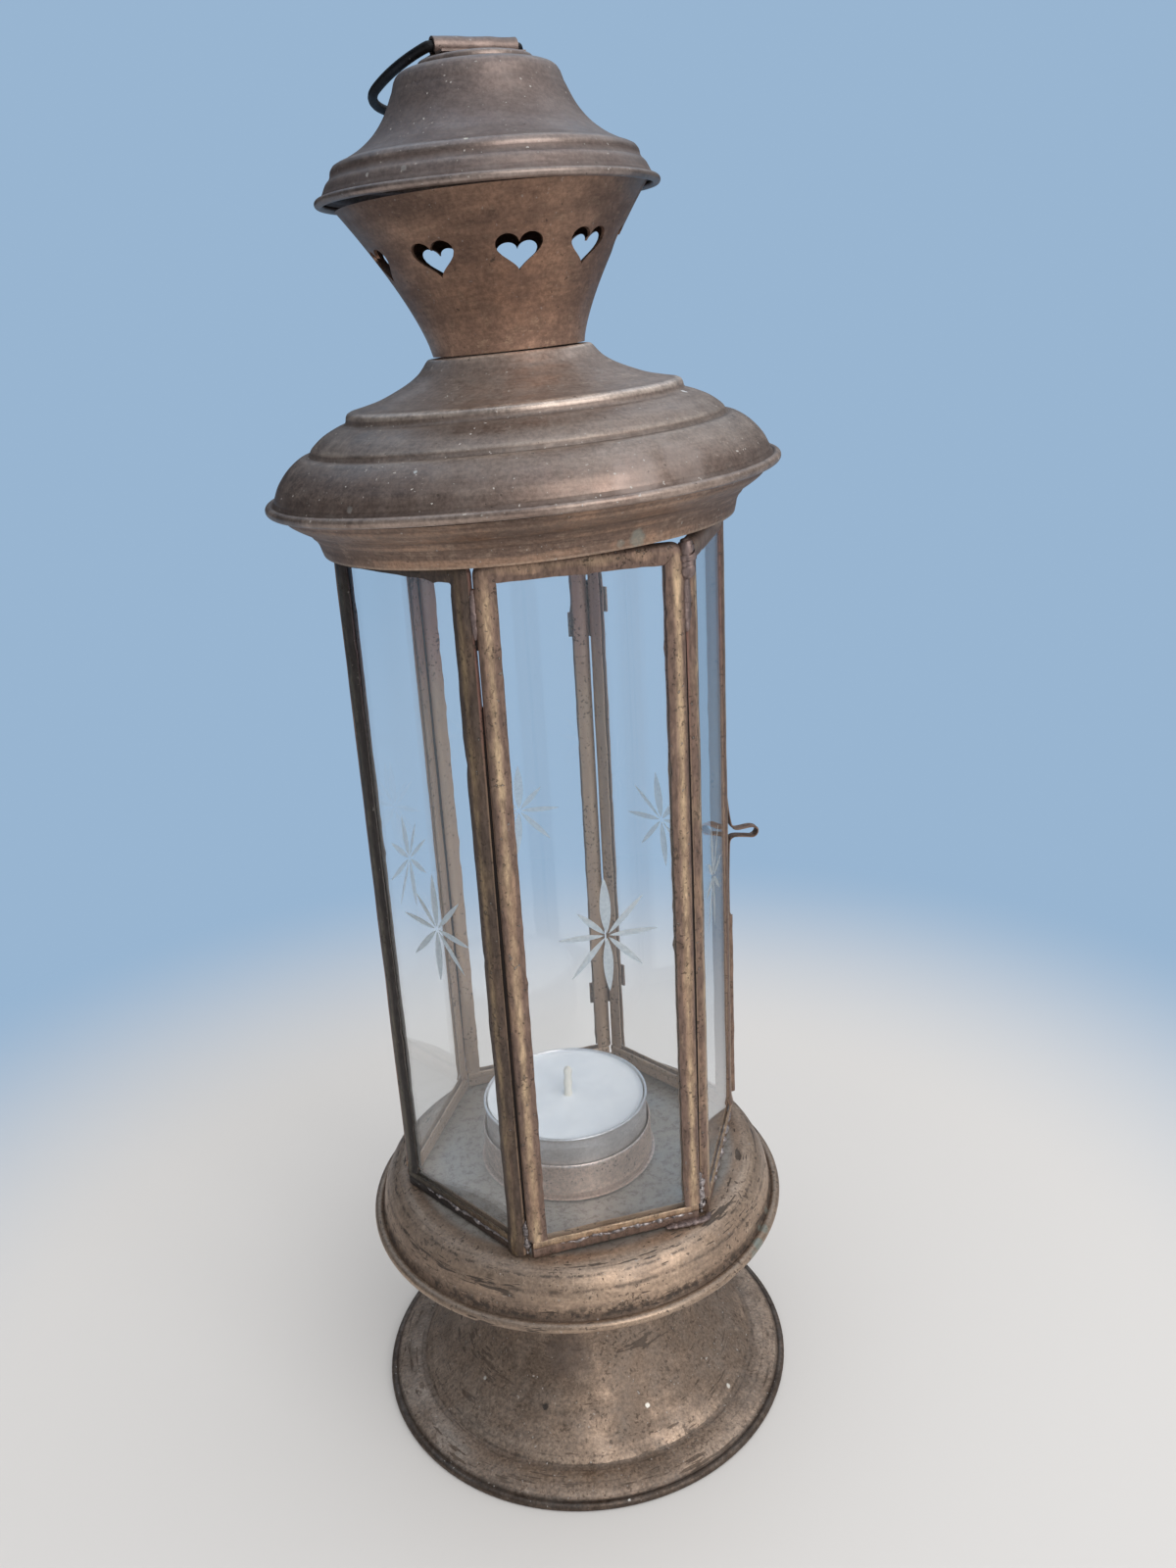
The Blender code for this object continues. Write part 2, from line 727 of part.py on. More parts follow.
def strip_outline():
    """The latch strip from the side, as distance from the corner's axis and height."""
    base = 0.0
    top = LATCH_TOP
    root = LATCH_ROOT
    bulge = base + LATCH_BULGE
    pull = bulge + LATCH_PULL_LENGTH
    half = LATCH_PULL_HEIGHT / 2.0
    middle = root - half
    tail = base + LATCH_TAIL_STANDOFF
    thick = LATCH_THICKNESS
    straight = root + 0.0130
    outer = [(base + thick, top), (base + thick, straight)]
    outer += [(base + thick + LATCH_BULGE * 0.35, root + 0.0068)]
    outer += [(bulge + thick * 0.6, root + 0.0012), (bulge + 0.0010, root)]
    outer += arc((pull - half, middle), half, 90.0, -90.0, 7)
    outer += [(bulge + 0.0009, middle - half + 0.0003)]
    outer += [(tail + thick, middle - half - 0.0012), (tail + thick, LATCH_TIP)]
    inner_half = half - thick
    inner = [(tail, LATCH_TIP), (tail, middle - half + 0.0003)]
    inner += [(bulge + 0.0005, middle - half + 0.0003 + thick * 1.1)]
    inner += arc((pull - half, middle), inner_half, -90.0, 90.0, 7)
    inner += [(bulge + 0.0004, root - thick), (bulge - thick * 0.5, root + 0.0004)]
    inner += [(base + LATCH_BULGE * 0.35, root + 0.0063)]
    inner += [(base, straight - 0.0004), (base, top)]
    return outer + inner


def place_on_free_edge(offset, lateral, height):
    """A place on the door's free edge, relative to the door's axis."""
    radial = strip_face + offset
    local = Matrix.Rotation(free_turn, 3, "Z") @ Vector((radial, lateral, height))
    return local - Vector(hinge_origin)


latch_seat = place_on_free_edge(LATCH_THICKNESS / 2.0, strip_middle, LATCH_TOP)
latch_axis = make_empty("latch_axis", latch_seat, None, door_axis)
strip_points = [(x - LATCH_THICKNESS / 2.0, z - LATCH_TOP) for x, z in strip_outline()]
strip = stand_up(outline_mesh("latch_strip", strip_points, LATCH_WIDTH))
strip_obj = bpy.data.objects.new("latch_strip", strip)
finish_object(strip_obj, FRAME_BRASS, latch_axis, (0.0, 0.0, 0.0), free_turn)

door_rail_bottom = PANEL_BOTTOM + DOOR_BOTTOM_CLEARANCE
sleeve_low = door_rail_bottom + BOTTOM_RAIL_HEIGHT + CLEAR
upper_bottom = LATCH_TOP + CLEAR
upper_top = FRAME_TOP - DOOR_TOP_CLEARANCE - CAME_FOLD
sleeve_upper = box_mesh(
    "door_sleeve_upper",
    (0.0, -LATCH_WIDTH / 2.0, 0.0),
    (LATCH_THICKNESS, LATCH_WIDTH / 2.0, upper_top - upper_bottom),
)
sleeve_upper_obj = bpy.data.objects.new("door_sleeve_upper", sleeve_upper)
upper_place = place_on_free_edge(0.0, strip_middle, upper_bottom)
finish_object(sleeve_upper_obj, FRAME_BRASS, door_axis, upper_place, free_turn)

half_width = LATCH_WIDTH / 2.0
wall = LATCH_THICKNESS
sleeve_plan = [
    (0.0, -half_width),
    (SLEEVE_DEPTH, -half_width),
    (SLEEVE_DEPTH, half_width),
    (0.0, half_width),
    (0.0, half_width - wall),
    (SLEEVE_DEPTH - wall, half_width - wall),
    (SLEEVE_DEPTH - wall, -half_width + wall),
    (0.0, -half_width + wall),
]
sleeve_height = LATCH_TIP - 0.0010 - sleeve_low
sleeve_lower = outline_mesh("door_sleeve_lower", sleeve_plan, sleeve_height)
sleeve_lower_obj = bpy.data.objects.new("door_sleeve_lower", sleeve_lower)
lower_place = place_on_free_edge(0.0, strip_middle, sleeve_low + sleeve_height / 2.0)
finish_object(sleeve_lower_obj, FRAME_BRASS, door_axis, lower_place, free_turn)

# Ring that closes the top of the panels

ring_low = FRAME_TOP + CLEAR
ring_high = ring_low + SEAT_RING_THICKNESS
turned(
    "roof_seat_ring",
    [
        (SEAT_RING_HOLE, ring_high),
        (SEAT_RING_RADIUS, ring_high),
        (SEAT_RING_RADIUS, ring_low),
        (SEAT_RING_HOLE, ring_low),
    ],
    NECK_BRASS,
)

# Roof seat: everything above leans with it, about the middle of the skirt's lower edge



def lean_direction():
    """The level direction in which the roof's edge rises."""
    return Vector((math.cos(ROOF_LEAN_TOWARDS), math.sin(ROOF_LEAN_TOWARDS), 0.0))


def roof_lean_axis():
    """The level axis about which the roof leans."""
    return Vector((-math.sin(ROOF_LEAN_TOWARDS), math.cos(ROOF_LEAN_TOWARDS), 0.0))


lean = Matrix.Rotation(-ROOF_LEAN, 4, roof_lean_axis()).to_quaternion()
shift = lean_direction() * ROOF_SHIFT
roof = make_empty("roof_seat", (shift.x, shift.y, ROOF_HEIGHT), lean)

# Skirt under the dome


def skirt_profile():
    """The skirt's outer line from under the dome's bead down to its lower edge."""
    bead_centre = (DOME_RIM_RADIUS - DOME_BEAD, DOME_RIM_RISE)
    touch = DOME_BEAD + CLEAR
    top = (bead_centre[0] - touch * 0.674, bead_centre[1] - touch * 0.738)
    outer = [
        top,
        (DOME_RIM_RADIUS - 0.0037, 0.0074),
        (DOME_RIM_RADIUS - 0.0058, 0.0058),
        (SKIRT_STEP_RADIUS + 0.0004, SKIRT_BAND + 0.0004),
        (SKIRT_STEP_RADIUS - 0.0004, SKIRT_BAND - 0.0006),
        (SKIRT_OUTER + 0.0005, 0.0016),
        (SKIRT_OUTER, 0.0),
    ]
    return spun_profile(outer, SHEET)


turned("roof_skirt", skirt_profile(), NECK_BRASS, parent=roof)

# Dome: lip under the neck, hollow slope, two rounded steps and a rolled rim


def dome_profile():
    """The dome's outer line from its lip down to its rolled rim."""
    bead = (DOME_RIM_RADIUS - DOME_BEAD, DOME_RIM_RISE)
    lip_hole = NECK_FOOT_RADIUS - SHEET - 0.0012
    outer = [(lip_hole, DOME_LIP_RISE), (DOME_LIP_RADIUS, DOME_LIP_RISE)]
    run = DOME_EDGE_RADIUS - DOME_LIP_RADIUS
    drop = DOME_LIP_RISE - DOME_EDGE_RISE
    for share, depth in ((0.07, 0.20), (0.27, 0.48), (0.58, 0.76), (0.92, 0.93)):
        outer.append((DOME_LIP_RADIUS + run * share, DOME_LIP_RISE - drop * depth))
    outer.append((DOME_EDGE_RADIUS, DOME_EDGE_RISE - 0.0002))
    outer.append((DOME_EDGE_RADIUS + 0.0006, DOME_EDGE_RISE - 0.0014))
    step_run = DOME_STEP_RADIUS - DOME_EDGE_RADIUS
    step_drop = DOME_EDGE_RISE - DOME_STEP_RISE
    for share, depth in ((0.18, 0.26), (0.62, 0.52), (0.93, 0.94)):
        outer.append((DOME_EDGE_RADIUS + step_run * share, DOME_EDGE_RISE - step_drop * depth))
    rim_run = bead[0] - 0.0008 - DOME_STEP_RADIUS
    rim_drop = DOME_STEP_RISE - bead[1] - 0.0009
    for share, depth in ((0.05, 0.05), (0.55, 0.34), (0.94, 0.86)):
        outer.append((DOME_STEP_RADIUS + rim_run * share, DOME_STEP_RISE - rim_drop * depth))
    outer.append((bead[0] - DOME_BEAD * 0.40, bead[1] + DOME_BEAD * 0.92))
    return spun_profile(outer, SHEET, bead, DOME_BEAD)


turned("dome_shell", dome_profile(), ROOF_BRASS, parent=roof)

# Chimney neck: an inverted trumpet pierced with hearts


def neck_line():
    """The neck's outer line from its top edge down to its foot, hollow in the middle."""
    points = []
    for i in range(7):
        share = i / 6.0
        radius = NECK_FOOT_RADIUS + (NECK_TOP_RADIUS - NECK_FOOT_RADIUS) * (1.0 - share) ** 1.35
        points.append((radius, NECK_RISE + NECK_HEIGHT * (1.0 - share)))
    return points


def neck_radius(rise):
    """The neck's outer radius at a height above its foot."""
    return NECK_FOOT_RADIUS + (NECK_TOP_RADIUS - NECK_FOOT_RADIUS) * (rise / NECK_HEIGHT) ** 1.35


neck = turned("chimney_neck", spun_profile(neck_line(), SHEET), NECK_BRASS, parent=roof)


def heart_outline(width, height):
    """A heart, point down, from the sine and cosine series of the usual heart curve."""
    points = []
    count = 16
    for i in range(count):
        t = 2.0 * math.pi * i / count
        x = 16.0 * math.sin(t) ** 3
        y = 13.0 * math.cos(t) - 5.0 * math.cos(2 * t) - 2.0 * math.cos(3 * t) - math.cos(4 * t)
        points.append((x * width / 32.0, (y + 2.5) * height / 29.0))
    return points


HEART_REACH = 0.0090
for heart_index in range(HEART_COUNT):
    heart_name = "heart_cutter_" + str(heart_index)
    heart = stand_up(outline_mesh(heart_name, heart_outline(HEART_WIDTH, HEART_HEIGHT), HEART_REACH))
    heart_turn = HEART_TURN + heart_index * 2.0 * math.pi / HEART_COUNT
    heart_rise = HEART_RISE + HEART_DRIFT * (1.0 - math.cos(heart_turn))
    if heart_index == STRAY_HEART:
        heart_turn += STRAY_TURN
    heart_place = polar(neck_radius(heart_rise), heart_turn, NECK_RISE + heart_rise)
    cut(neck, make_cutter(heart_name, heart, roof, heart_place, heart_turn))

# Bell cap: closed top, hollow flare, stepped shoulder and a rolled rim
# It sits a little straighter than the neck and a little to one side

cap_lean_axis = roof_lean_axis()
cap_righting = Matrix.Rotation(CAP_RIGHTED, 4, cap_lean_axis).to_quaternion()
cap_place = lean_direction() * CAP_SHIFT + Vector((0.0, 0.0, CAP_RIM_RISE))
cap_seat = make_empty("cap_seat", cap_place, cap_righting, roof)


def cap_profile():
    """The cap's outer line from the middle of its top down to its rolled rim."""
    bead = (CAP_RIM_RADIUS - CAP_BEAD, 0.0)
    top = CAP_HEIGHT
    outer = [(0.0, top), (CAP_TOP_RADIUS - 0.0024, top), (CAP_TOP_RADIUS - 0.0006, top - 0.0006)]
    shoulder = (CAP_SHOULDER_RADIUS, CAP_SHOULDER_RISE)
    run = shoulder[0] - CAP_TOP_RADIUS
    drop = top - shoulder[1] - 0.0016
    flare = ((0.05, 0.15), (0.20, 0.44), (0.46, 0.73), (0.82, 0.94))
    for share, depth in flare:
        outer.append((CAP_TOP_RADIUS + run * share, top - 0.0010 - drop * depth))
    outer.append((shoulder[0], shoulder[1]))
    outer.append((shoulder[0] + 0.0004, shoulder[1] - 0.0016))
    outer.append((shoulder[0] + 0.0014, shoulder[1] - 0.0023))
    outer.append((shoulder[0] + 0.0021, shoulder[1] - 0.0040))
    outer.append((bead[0] - CAP_BEAD * 0.30, bead[1] + CAP_BEAD * 0.95))
    return spun_profile(outer, SHEET, bead, CAP_BEAD, closed_top=True)


turned("cap_shell", cap_profile(), ROOF_BRASS, parent=cap_seat)

turned(
    "cap_boss",
    [
        (0.0, BOSS_RISE + BOSS_THICKNESS),
        (BOSS_RADIUS - 0.0005, BOSS_RISE + BOSS_THICKNESS),
        (BOSS_RADIUS, BOSS_RISE + BOSS_THICKNESS * 0.5),
        (BOSS_RADIUS, BOSS_RISE),
        (0.0, BOSS_RISE),
    ],
    ROOF_BRASS,
    parent=cap_seat,
    steps=32,
)

# Strap: a rolled eye with two flat feet, which holds the bail


def strap_outline():
    """The strap seen along the bail's axis, with the feet on the boss."""
    low = STRAP_THICKNESS - STRAP_OUTER
    start = math.degrees(math.asin(low / STRAP_OUTER))
    foot = STRAP_FOOT / 2.0
    outline = [(foot, -STRAP_OUTER), (foot, low)]
    outline += arc((0.0, 0.0), STRAP_OUTER, start, 180.0 - start, 13)
    outline += [(-foot, low), (-foot, -STRAP_OUTER)]
    hole = arc((0.0, 0.0), STRAP_BORE, 0.0, 360.0 - 360.0 / 14.0, 14)
    return outline, hole


strap_plan, strap_bore = strap_outline()
strap = stand_up(outline_mesh("handle_strap", strap_plan, STRAP_LENGTH, [strap_bore]))
strap_obj = bpy.data.objects.new("handle_strap", strap)
strap_turn = STRAP_TURN + math.radians(90.0)
finish_object(strap_obj, ROOF_BRASS, cap_seat, (0.0, 0.0, BAIL_RISE), strap_turn)

# Bail: one closed loop of wire through the strap, hanging over the back of the cap


def bail_points():
    """The loop in its own plane: straight through the strap, then two half ellipses."""
    straight = STRAP_LENGTH / 2.0 + 0.0007
    bend = straight + 0.0012
    upper = BAIL_WIDEST / math.sqrt(1.0 - (bend / BAIL_HALF_WIDTH) ** 2)
    lower = BAIL_DROP - BAIL_WIDEST
    first = math.degrees(math.asin(bend / BAIL_HALF_WIDTH))
    half_loop = []
    for i in range(15):
        angle = math.radians(first + (180.0 - first) * i / 14.0)
        depth = upper if angle < math.pi / 2.0 else lower
        half_loop.append((BAIL_HALF_WIDTH * math.sin(angle), BAIL_WIDEST - depth * math.cos(angle)))
    half_loop[0] = (bend, 0.00025)
    bow = [(straight, 0.0)] + half_loop
    mirrored = [(-x, y) for x, y in reversed(bow) if x > 1e-6]
    return [(-straight * 0.4, 0.0), (straight * 0.4, 0.0)] + bow + mirrored


bail_turn = Matrix.Rotation(STRAP_TURN, 4, "Z")
bail_axis = make_empty("bail_axis", (0.0, 0.0, BAIL_RISE), bail_turn.to_quaternion(), cap_seat)
bail_curve = bpy.data.curves.new("bail_wire", "CURVE")
bail_curve.dimensions = "3D"
bail_curve.bevel_depth = WIRE_RADIUS
bail_curve.bevel_resolution = 2
bail_curve.use_fill_caps = True
loop_points = bail_points()
bail_spline = bail_curve.splines.new("POLY")
bail_spline.points.add(len(loop_points) - 1)
for slot, (across, out) in zip(bail_spline.points, loop_points):
    slot.co = (across, out * math.cos(BAIL_REST), -out * math.sin(BAIL_REST), 1.0)
bail_spline.use_cyclic_u = True
bail_source = bpy.data.objects.new("bail_source", bail_curve)
CUTTERS.objects.link(bail_source)
bail_mesh = curve_to_mesh(bail_source, "bail_wire")
bail_obj = bpy.data.objects.new("bail_wire", bail_mesh)
finish_object(bail_obj, DARK_WIRE, bail_axis, (0.0, 0.0, 0.0), 0.0, 60.0)

bpy.context.view_layer.update()
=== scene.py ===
"""An aged brass candle lantern on a pale table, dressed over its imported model."""

import math
from types import SimpleNamespace

import bmesh
import bpy
import numpy as np
from mathutils import Matrix, Vector


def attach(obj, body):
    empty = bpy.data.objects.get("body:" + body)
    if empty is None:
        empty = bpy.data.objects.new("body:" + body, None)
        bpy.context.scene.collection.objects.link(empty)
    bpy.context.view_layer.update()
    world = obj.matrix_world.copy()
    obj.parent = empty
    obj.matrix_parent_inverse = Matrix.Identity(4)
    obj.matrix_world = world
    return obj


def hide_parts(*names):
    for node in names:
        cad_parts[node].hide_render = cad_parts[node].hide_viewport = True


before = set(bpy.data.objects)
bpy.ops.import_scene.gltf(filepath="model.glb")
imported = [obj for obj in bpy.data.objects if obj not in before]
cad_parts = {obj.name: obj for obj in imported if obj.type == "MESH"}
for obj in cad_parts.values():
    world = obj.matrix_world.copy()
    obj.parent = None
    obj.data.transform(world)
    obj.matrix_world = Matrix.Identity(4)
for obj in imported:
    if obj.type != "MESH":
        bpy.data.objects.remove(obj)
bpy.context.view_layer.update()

# Sizes in metres, the same as the model's own

SHEET = 0.0006
CLEAR = 0.0003
FLOOR_HEIGHT = 0.0624
FRAME_TOP = 0.2154
CORNER_RADIUS = 0.0406
APOTHEM = CORNER_RADIUS * math.cos(math.radians(30.0))
PANEL_HALF = 0.01961
CAME_WIDTH = 0.0040
CAME_FOLD = 0.0026
CAME_HALF_DEPTH = 0.00145
CAME_ROUND = 0.0015
CAME_OVERLAP = 0.0003
RAIL_HALF = 0.01916
RAIL_HEIGHT = 0.0042
PANEL_BOTTOM = FLOOR_HEIGHT + CLEAR
DOOR_FOOT_GAP = 0.0005
DOOR_TOP_GAP = 0.0010
CORNER_REACH = 0.04102
GLASS_HALF_DEPTH = 0.0009
DOME_RIM_RADIUS = 0.0519
DOME_RIM_RISE = 0.0101
DOME_BEAD = 0.00095
NECK_FOOT_RADIUS = 0.0150
NECK_TOP_RADIUS = 0.0295
NECK_HEIGHT = 0.0272
NECK_RISE = 0.0348
CAP_RIM_RADIUS = 0.0326
CAP_BEAD = 0.00080
CAP_HEIGHT = 0.0208
CAP_RIM_RISE = 0.0628
STRAP_LENGTH = 0.0165
STRAP_RISE = 0.0227
STRAP_OUTER = 0.00165
BOSS_THICKNESS = 0.0013
WIRE_RADIUS = 0.00095
CUP_OFFSET = (-0.0011, 0.0003)
PANELS = ["front", "right", "door", "back", "back_left", "left"]
SECTOR = math.radians(60.0)

# Frames


def turn_about(axis, angle):
    """The 3 x 3 matrix of a turn about a unit axis: cos I + sin [axis] + (1 - cos) axis axis."""
    x, y, z = axis
    cross = np.array([[0.0, -z, y], [z, 0.0, -x], [-y, x, 0.0]])
    return (
        math.cos(angle) * np.eye(3)
        + math.sin(angle) * cross
        + (1.0 - math.cos(angle)) * np.outer(axis, axis)
    )


def place(turn, shift):
    """A function that turns rows of points and then shifts them."""
    return lambda points: np.asarray(points) @ np.asarray(turn).T + np.asarray(shift)


LEAN = math.radians(2.8)
CAP_LEANS_LESS = math.radians(1.4)
LEAN_TOWARDS = math.radians(-13.0)
ROOF_RISE = 0.2150
ROOF_SHIFT = -0.0008
CAP_SHIFT = -0.0006
UP = np.array([0.0, 0.0, 1.0])
lean_way = np.array([math.cos(LEAN_TOWARDS), math.sin(LEAN_TOWARDS), 0.0])
lean_axis = np.array([-math.sin(LEAN_TOWARDS), math.cos(LEAN_TOWARDS), 0.0])
roof_turn = turn_about(lean_axis, -LEAN)
roof_shift = lean_way * ROOF_SHIFT + UP * ROOF_RISE
cap_turn = roof_turn @ turn_about(lean_axis, CAP_LEANS_LESS)
cap_shift = roof_turn @ (lean_way * CAP_SHIFT + UP * CAP_RIM_RISE) + roof_shift
on_table = place(np.eye(3), (0.0, 0.0, 0.0))
on_roof = place(roof_turn, roof_shift)
on_cap = place(cap_turn, cap_shift)


def on_panel(index):
    """A function from (across, depth, height) on a panel to its place in the ring of six."""
    angle = index * SECTOR
    middle = (APOTHEM * math.sin(angle), -APOTHEM * math.cos(angle), 0.0)
    return place(turn_about(UP, angle), middle)


# Mesh building


def grid_faces(rows, columns, round_rows=False, round_columns=False, start=0, flip=False):
    """Quads over a grid of points, row by row, closed round where asked."""
    i, j = np.meshgrid(
        np.arange(rows if round_rows else rows - 1),
        np.arange(columns if round_columns else columns - 1),
        indexing="ij",
    )
    below = (i + 1) % rows
    beside = (j + 1) % columns
    quads = np.stack(
        [i * columns + j, i * columns + beside, below * columns + beside, below * columns + j],
        axis=-1,
    ).reshape(-1, 4)
    return start + (quads[:, ::-1] if flip else quads)


def stacked(*parts):
    """Points from arrays of their parts, which are spread to one size first."""
    return np.stack(np.broadcast_arrays(*parts), axis=-1)


def link_object(name, data):
    """An object in the scene that holds the data."""
    made = bpy.data.objects.new(name, data)
    bpy.context.scene.collection.objects.link(made)
    return made


def finish_piece(name, points, faces, node, body, slot, material, sharp=40.0, weld=1e-6, **marks):
    """Put points and faces in a piece, close its seams and poles, and turn its faces outwards.

    The marks are numbers at the points, such as crest and rim, that the materials read.
    """
    mesh = bpy.data.meshes.new(name)
    faces = faces if isinstance(faces, list) else faces.tolist()
    mesh.from_pydata(np.asarray(points).tolist(), [], faces)
    for label, values in marks.items():
        layer = mesh.attributes.new(label, "FLOAT", "POINT")
        layer.data.foreach_set("value", np.asarray(values, np.float32).ravel())
    build = bmesh.new()
    build.from_mesh(mesh)
    bmesh.ops.remove_doubles(build, verts=build.verts, dist=weld)
    bmesh.ops.dissolve_degenerate(build, edges=build.edges, dist=weld / 4.0)
    loose = [v for v in build.verts if not v.link_faces]
    bmesh.ops.delete(build, geom=loose, context="VERTS")
    bmesh.ops.recalc_face_normals(build, faces=build.faces)
    build.to_mesh(mesh)
    build.free()
    mesh.shade_smooth()
    mesh.set_sharp_from_angle(angle=math.radians(sharp))
    mesh.materials.append(material)
    piece = link_object(name, mesh)
    if node:
        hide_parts(*([node] if isinstance(node, str) else node))
    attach(piece, body)
    return piece


def plate_faces(rows, columns):
    """Faces of a sheet with two sides, outer grid first, joined along its four edges."""
    half = rows * columns
    index = np.arange(half).reshape(rows, columns)
    faces = [grid_faces(rows, columns), grid_faces(rows, columns, start=half, flip=True)]
    for edge in (index[0], index[-1][::-1], index[:, -1], index[:, 0][::-1]):
        a, b = edge[:-1], edge[1:]
        faces.append(np.stack([a, b, b + half, a + half], axis=-1))
    return np.concatenate(faces)


def finish_plate(name, sheets, spot, node, body, slot, material, **marks):
    """Join two grids of points, the outer side first, into one thin piece."""
    points = np.concatenate([sheet.reshape(-1, 3) for sheet in sheets])
    faces = plate_faces(*sheets[0].shape[:2])
    return finish_piece(name, spot(points), faces, node, body, slot, material, 50.0, **marks)


def capped(faces, sides, count):
    """The faces of a rod that has count points, and one more over the ring of points at each end."""
    return faces.tolist() + [list(range(sides)), list(range(count - sides, count))]


def curve_through(points, steps):
    """A smooth line through points: cubic spans, whose slope at a point is half the step across it."""
    p = np.asarray(points, float)
    ends = np.concatenate([[2 * p[0] - p[1]], p, [2 * p[-1] - p[-2]]])
    t = np.linspace(0.0, 1.0, steps, endpoint=False)[None, :, None]
    a, b, c, d = (ends[k : len(ends) - 3 + k, None, :] for k in range(4))
    spans = 0.5 * (
        2 * b + (c - a) * t + (2 * a - 5 * b + 4 * c - d) * t**2 + (3 * b - a - 3 * c + d) * t**3
    )
    return np.concatenate([spans.reshape(-1, p.shape[1]), p[-1:]])


def profile(*stretches):
    """One line of several stretches of (steps, points): smooth, or as given where the steps are 1."""
    lines = [curve_through(line, steps) if steps > 1 else line for steps, line in stretches]
    return np.concatenate(lines)


def length_along(line):
    """How far each point of a line is from its start, along the line."""
    return np.concatenate([[0.0], np.cumsum(np.linalg.norm(np.diff(line, axis=0), axis=1))])


def ripple(at, seed, waves, longest):
    """An uneven line between about -1 and 1: a sum of sines of seeded lengths and phases."""
    make = np.random.default_rng(seed)
    lengths = longest * make.uniform(0.12, 1.0, waves)
    phases = make.uniform(0.0, 2.0 * math.pi, waves)
    sizes = np.sqrt(lengths / longest)
    at = np.asarray(at, float)[..., None]
    return (sizes * np.sin(2.0 * math.pi * at / lengths + phases)).sum(-1) / sizes.sum() * 1.6


def ring_ripple(angle, seed, size):
    """An uneven ring: whole-number waves of two to six round the turn, with seeded phases."""
    make = np.random.default_rng(seed)
    counts = np.arange(2, 7)
    phases = make.uniform(0.0, 2.0 * math.pi, len(counts))
    return size * (np.cos(np.asarray(angle)[..., None] * counts + phases) / counts).sum(-1)


def bend_of(line):
    """How sharply a profile bends at each point, from -1 in a hollow to 1 on a crest."""
    step = np.diff(line, axis=0)
    step /= np.linalg.norm(step, axis=1)[:, None] + 1e-12
    cross = step[:-1, 0] * step[1:, 1] - step[:-1, 1] * step[1:, 0]
    bend = np.concatenate([[0.0], -cross, [0.0]])
    spread = np.convolve(bend, [0.25, 0.5, 0.75, 0.5, 0.25], "same")
    return np.clip(spread * 3.2, -1.0, 1.0)


def wall_inside(line, wall):
    """The line one wall inside a profile that runs down its outer side."""
    along = np.gradient(line, axis=0)
    along /= np.linalg.norm(along, axis=1)[:, None] + 1e-12
    return line + wall * np.stack([along[:, 1], -along[:, 0]], axis=1)


def round_bead(centre, radius, before, after, flat):
    """The turn of a rolled rim from the sheet's outer side to its inner, level underneath if flat."""
    start = math.atan2(before[1] - centre[1], before[0] - centre[0])
    stop = math.atan2(after[1] - centre[1], after[0] - centre[0])
    while stop > start:
        stop -= 2.0 * math.pi
    angle = np.linspace(start, stop, 26)
    ring = np.stack([centre[0] + radius * np.cos(angle), centre[1] + radius * np.sin(angle)], axis=1)
    if flat:
        ring[:, 1] = np.maximum(ring[:, 1], 0.0)
    return ring


def spun_piece(
    name, outer, spot, node, slot, material, uneven, seed,
    bead=None, closed_top=False, flat=False, lift=0.8, steps=180,
):
    """A spun shell: its profile, outer line, rolled rim and inner line, is carried round +Z.

    A point of the profile at (radius, height) goes to ((radius + ripple) cos, (radius + ripple) sin,
    height + ripple), where the ripples are small waves round the turn, as hand spinning leaves.
    """
    outer = np.asarray(outer)
    inner = wall_inside(outer, SHEET)
    if closed_top:
        inner[0] = (0.0, outer[0][1] - SHEET)
        inner[:, 0] = np.maximum(inner[:, 0], 0.0)
    if bead:
        centre, radius = bead
        ring = round_bead(centre, radius, outer[-1], inner[-1], flat)
        line = np.concatenate([outer[:-1], ring, inner[-2::-1]])
        on_bead = np.clip(2.0 - np.hypot(*(line - centre).T) / radius, 0.0, 1.0) ** 0.5
    else:
        line = np.concatenate([outer, inner[::-1]])
        on_bead = np.zeros(len(line))
    angle = np.arange(steps) * 2.0 * math.pi / steps
    share = np.clip(line[:, :1] / outer[:, 0].max(), 0.0, 1.0)
    radius = line[:, :1] + share * ring_ripple(angle, seed, uneven)
    height = line[:, 1:] + share * ring_ripple(angle, seed + 50, uneven * lift)
    points = stacked(radius * np.cos(angle), radius * np.sin(angle), height).reshape(-1, 3)
    faces = grid_faces(len(line), steps, round_rows=not closed_top, round_columns=True)
    marks = {"crest": np.repeat(bend_of(line), steps), "rim": np.repeat(on_bead, steps)}
    return finish_piece(name, spot(points), faces, node, "lantern", slot, material, **marks)


ROD_SIDES = 14


def swept_rod(path, radius, sides=ROD_SIDES, round_path=False):
    """Points and faces of a rod: circles of the given radii, each across its path."""
    path = np.asarray(path, float)
    if round_path:
        along = np.roll(path, -1, axis=0) - np.roll(path, 1, axis=0)
    else:
        along = np.gradient(path, axis=0)
    along /= np.linalg.norm(along, axis=1)[:, None]
    up = UP if abs(along[0, 2]) < 0.9 else np.array([1.0, 0.0, 0.0])
    side = np.cross(along, up)
    side /= np.linalg.norm(side, axis=1)[:, None] + 1e-12
    other = np.cross(side, along)
    angle = (np.arange(sides) * 2.0 * math.pi / sides)[None, :, None]
    radius = np.broadcast_to(np.asarray(radius, float), (len(path),))[:, None, None]
    points = path[:, None] + radius * (np.cos(angle) * side[:, None] + np.sin(angle) * other[:, None])
    return points.reshape(-1, 3), grid_faces(len(path), sides, round_path, round_columns=True)


# Materials


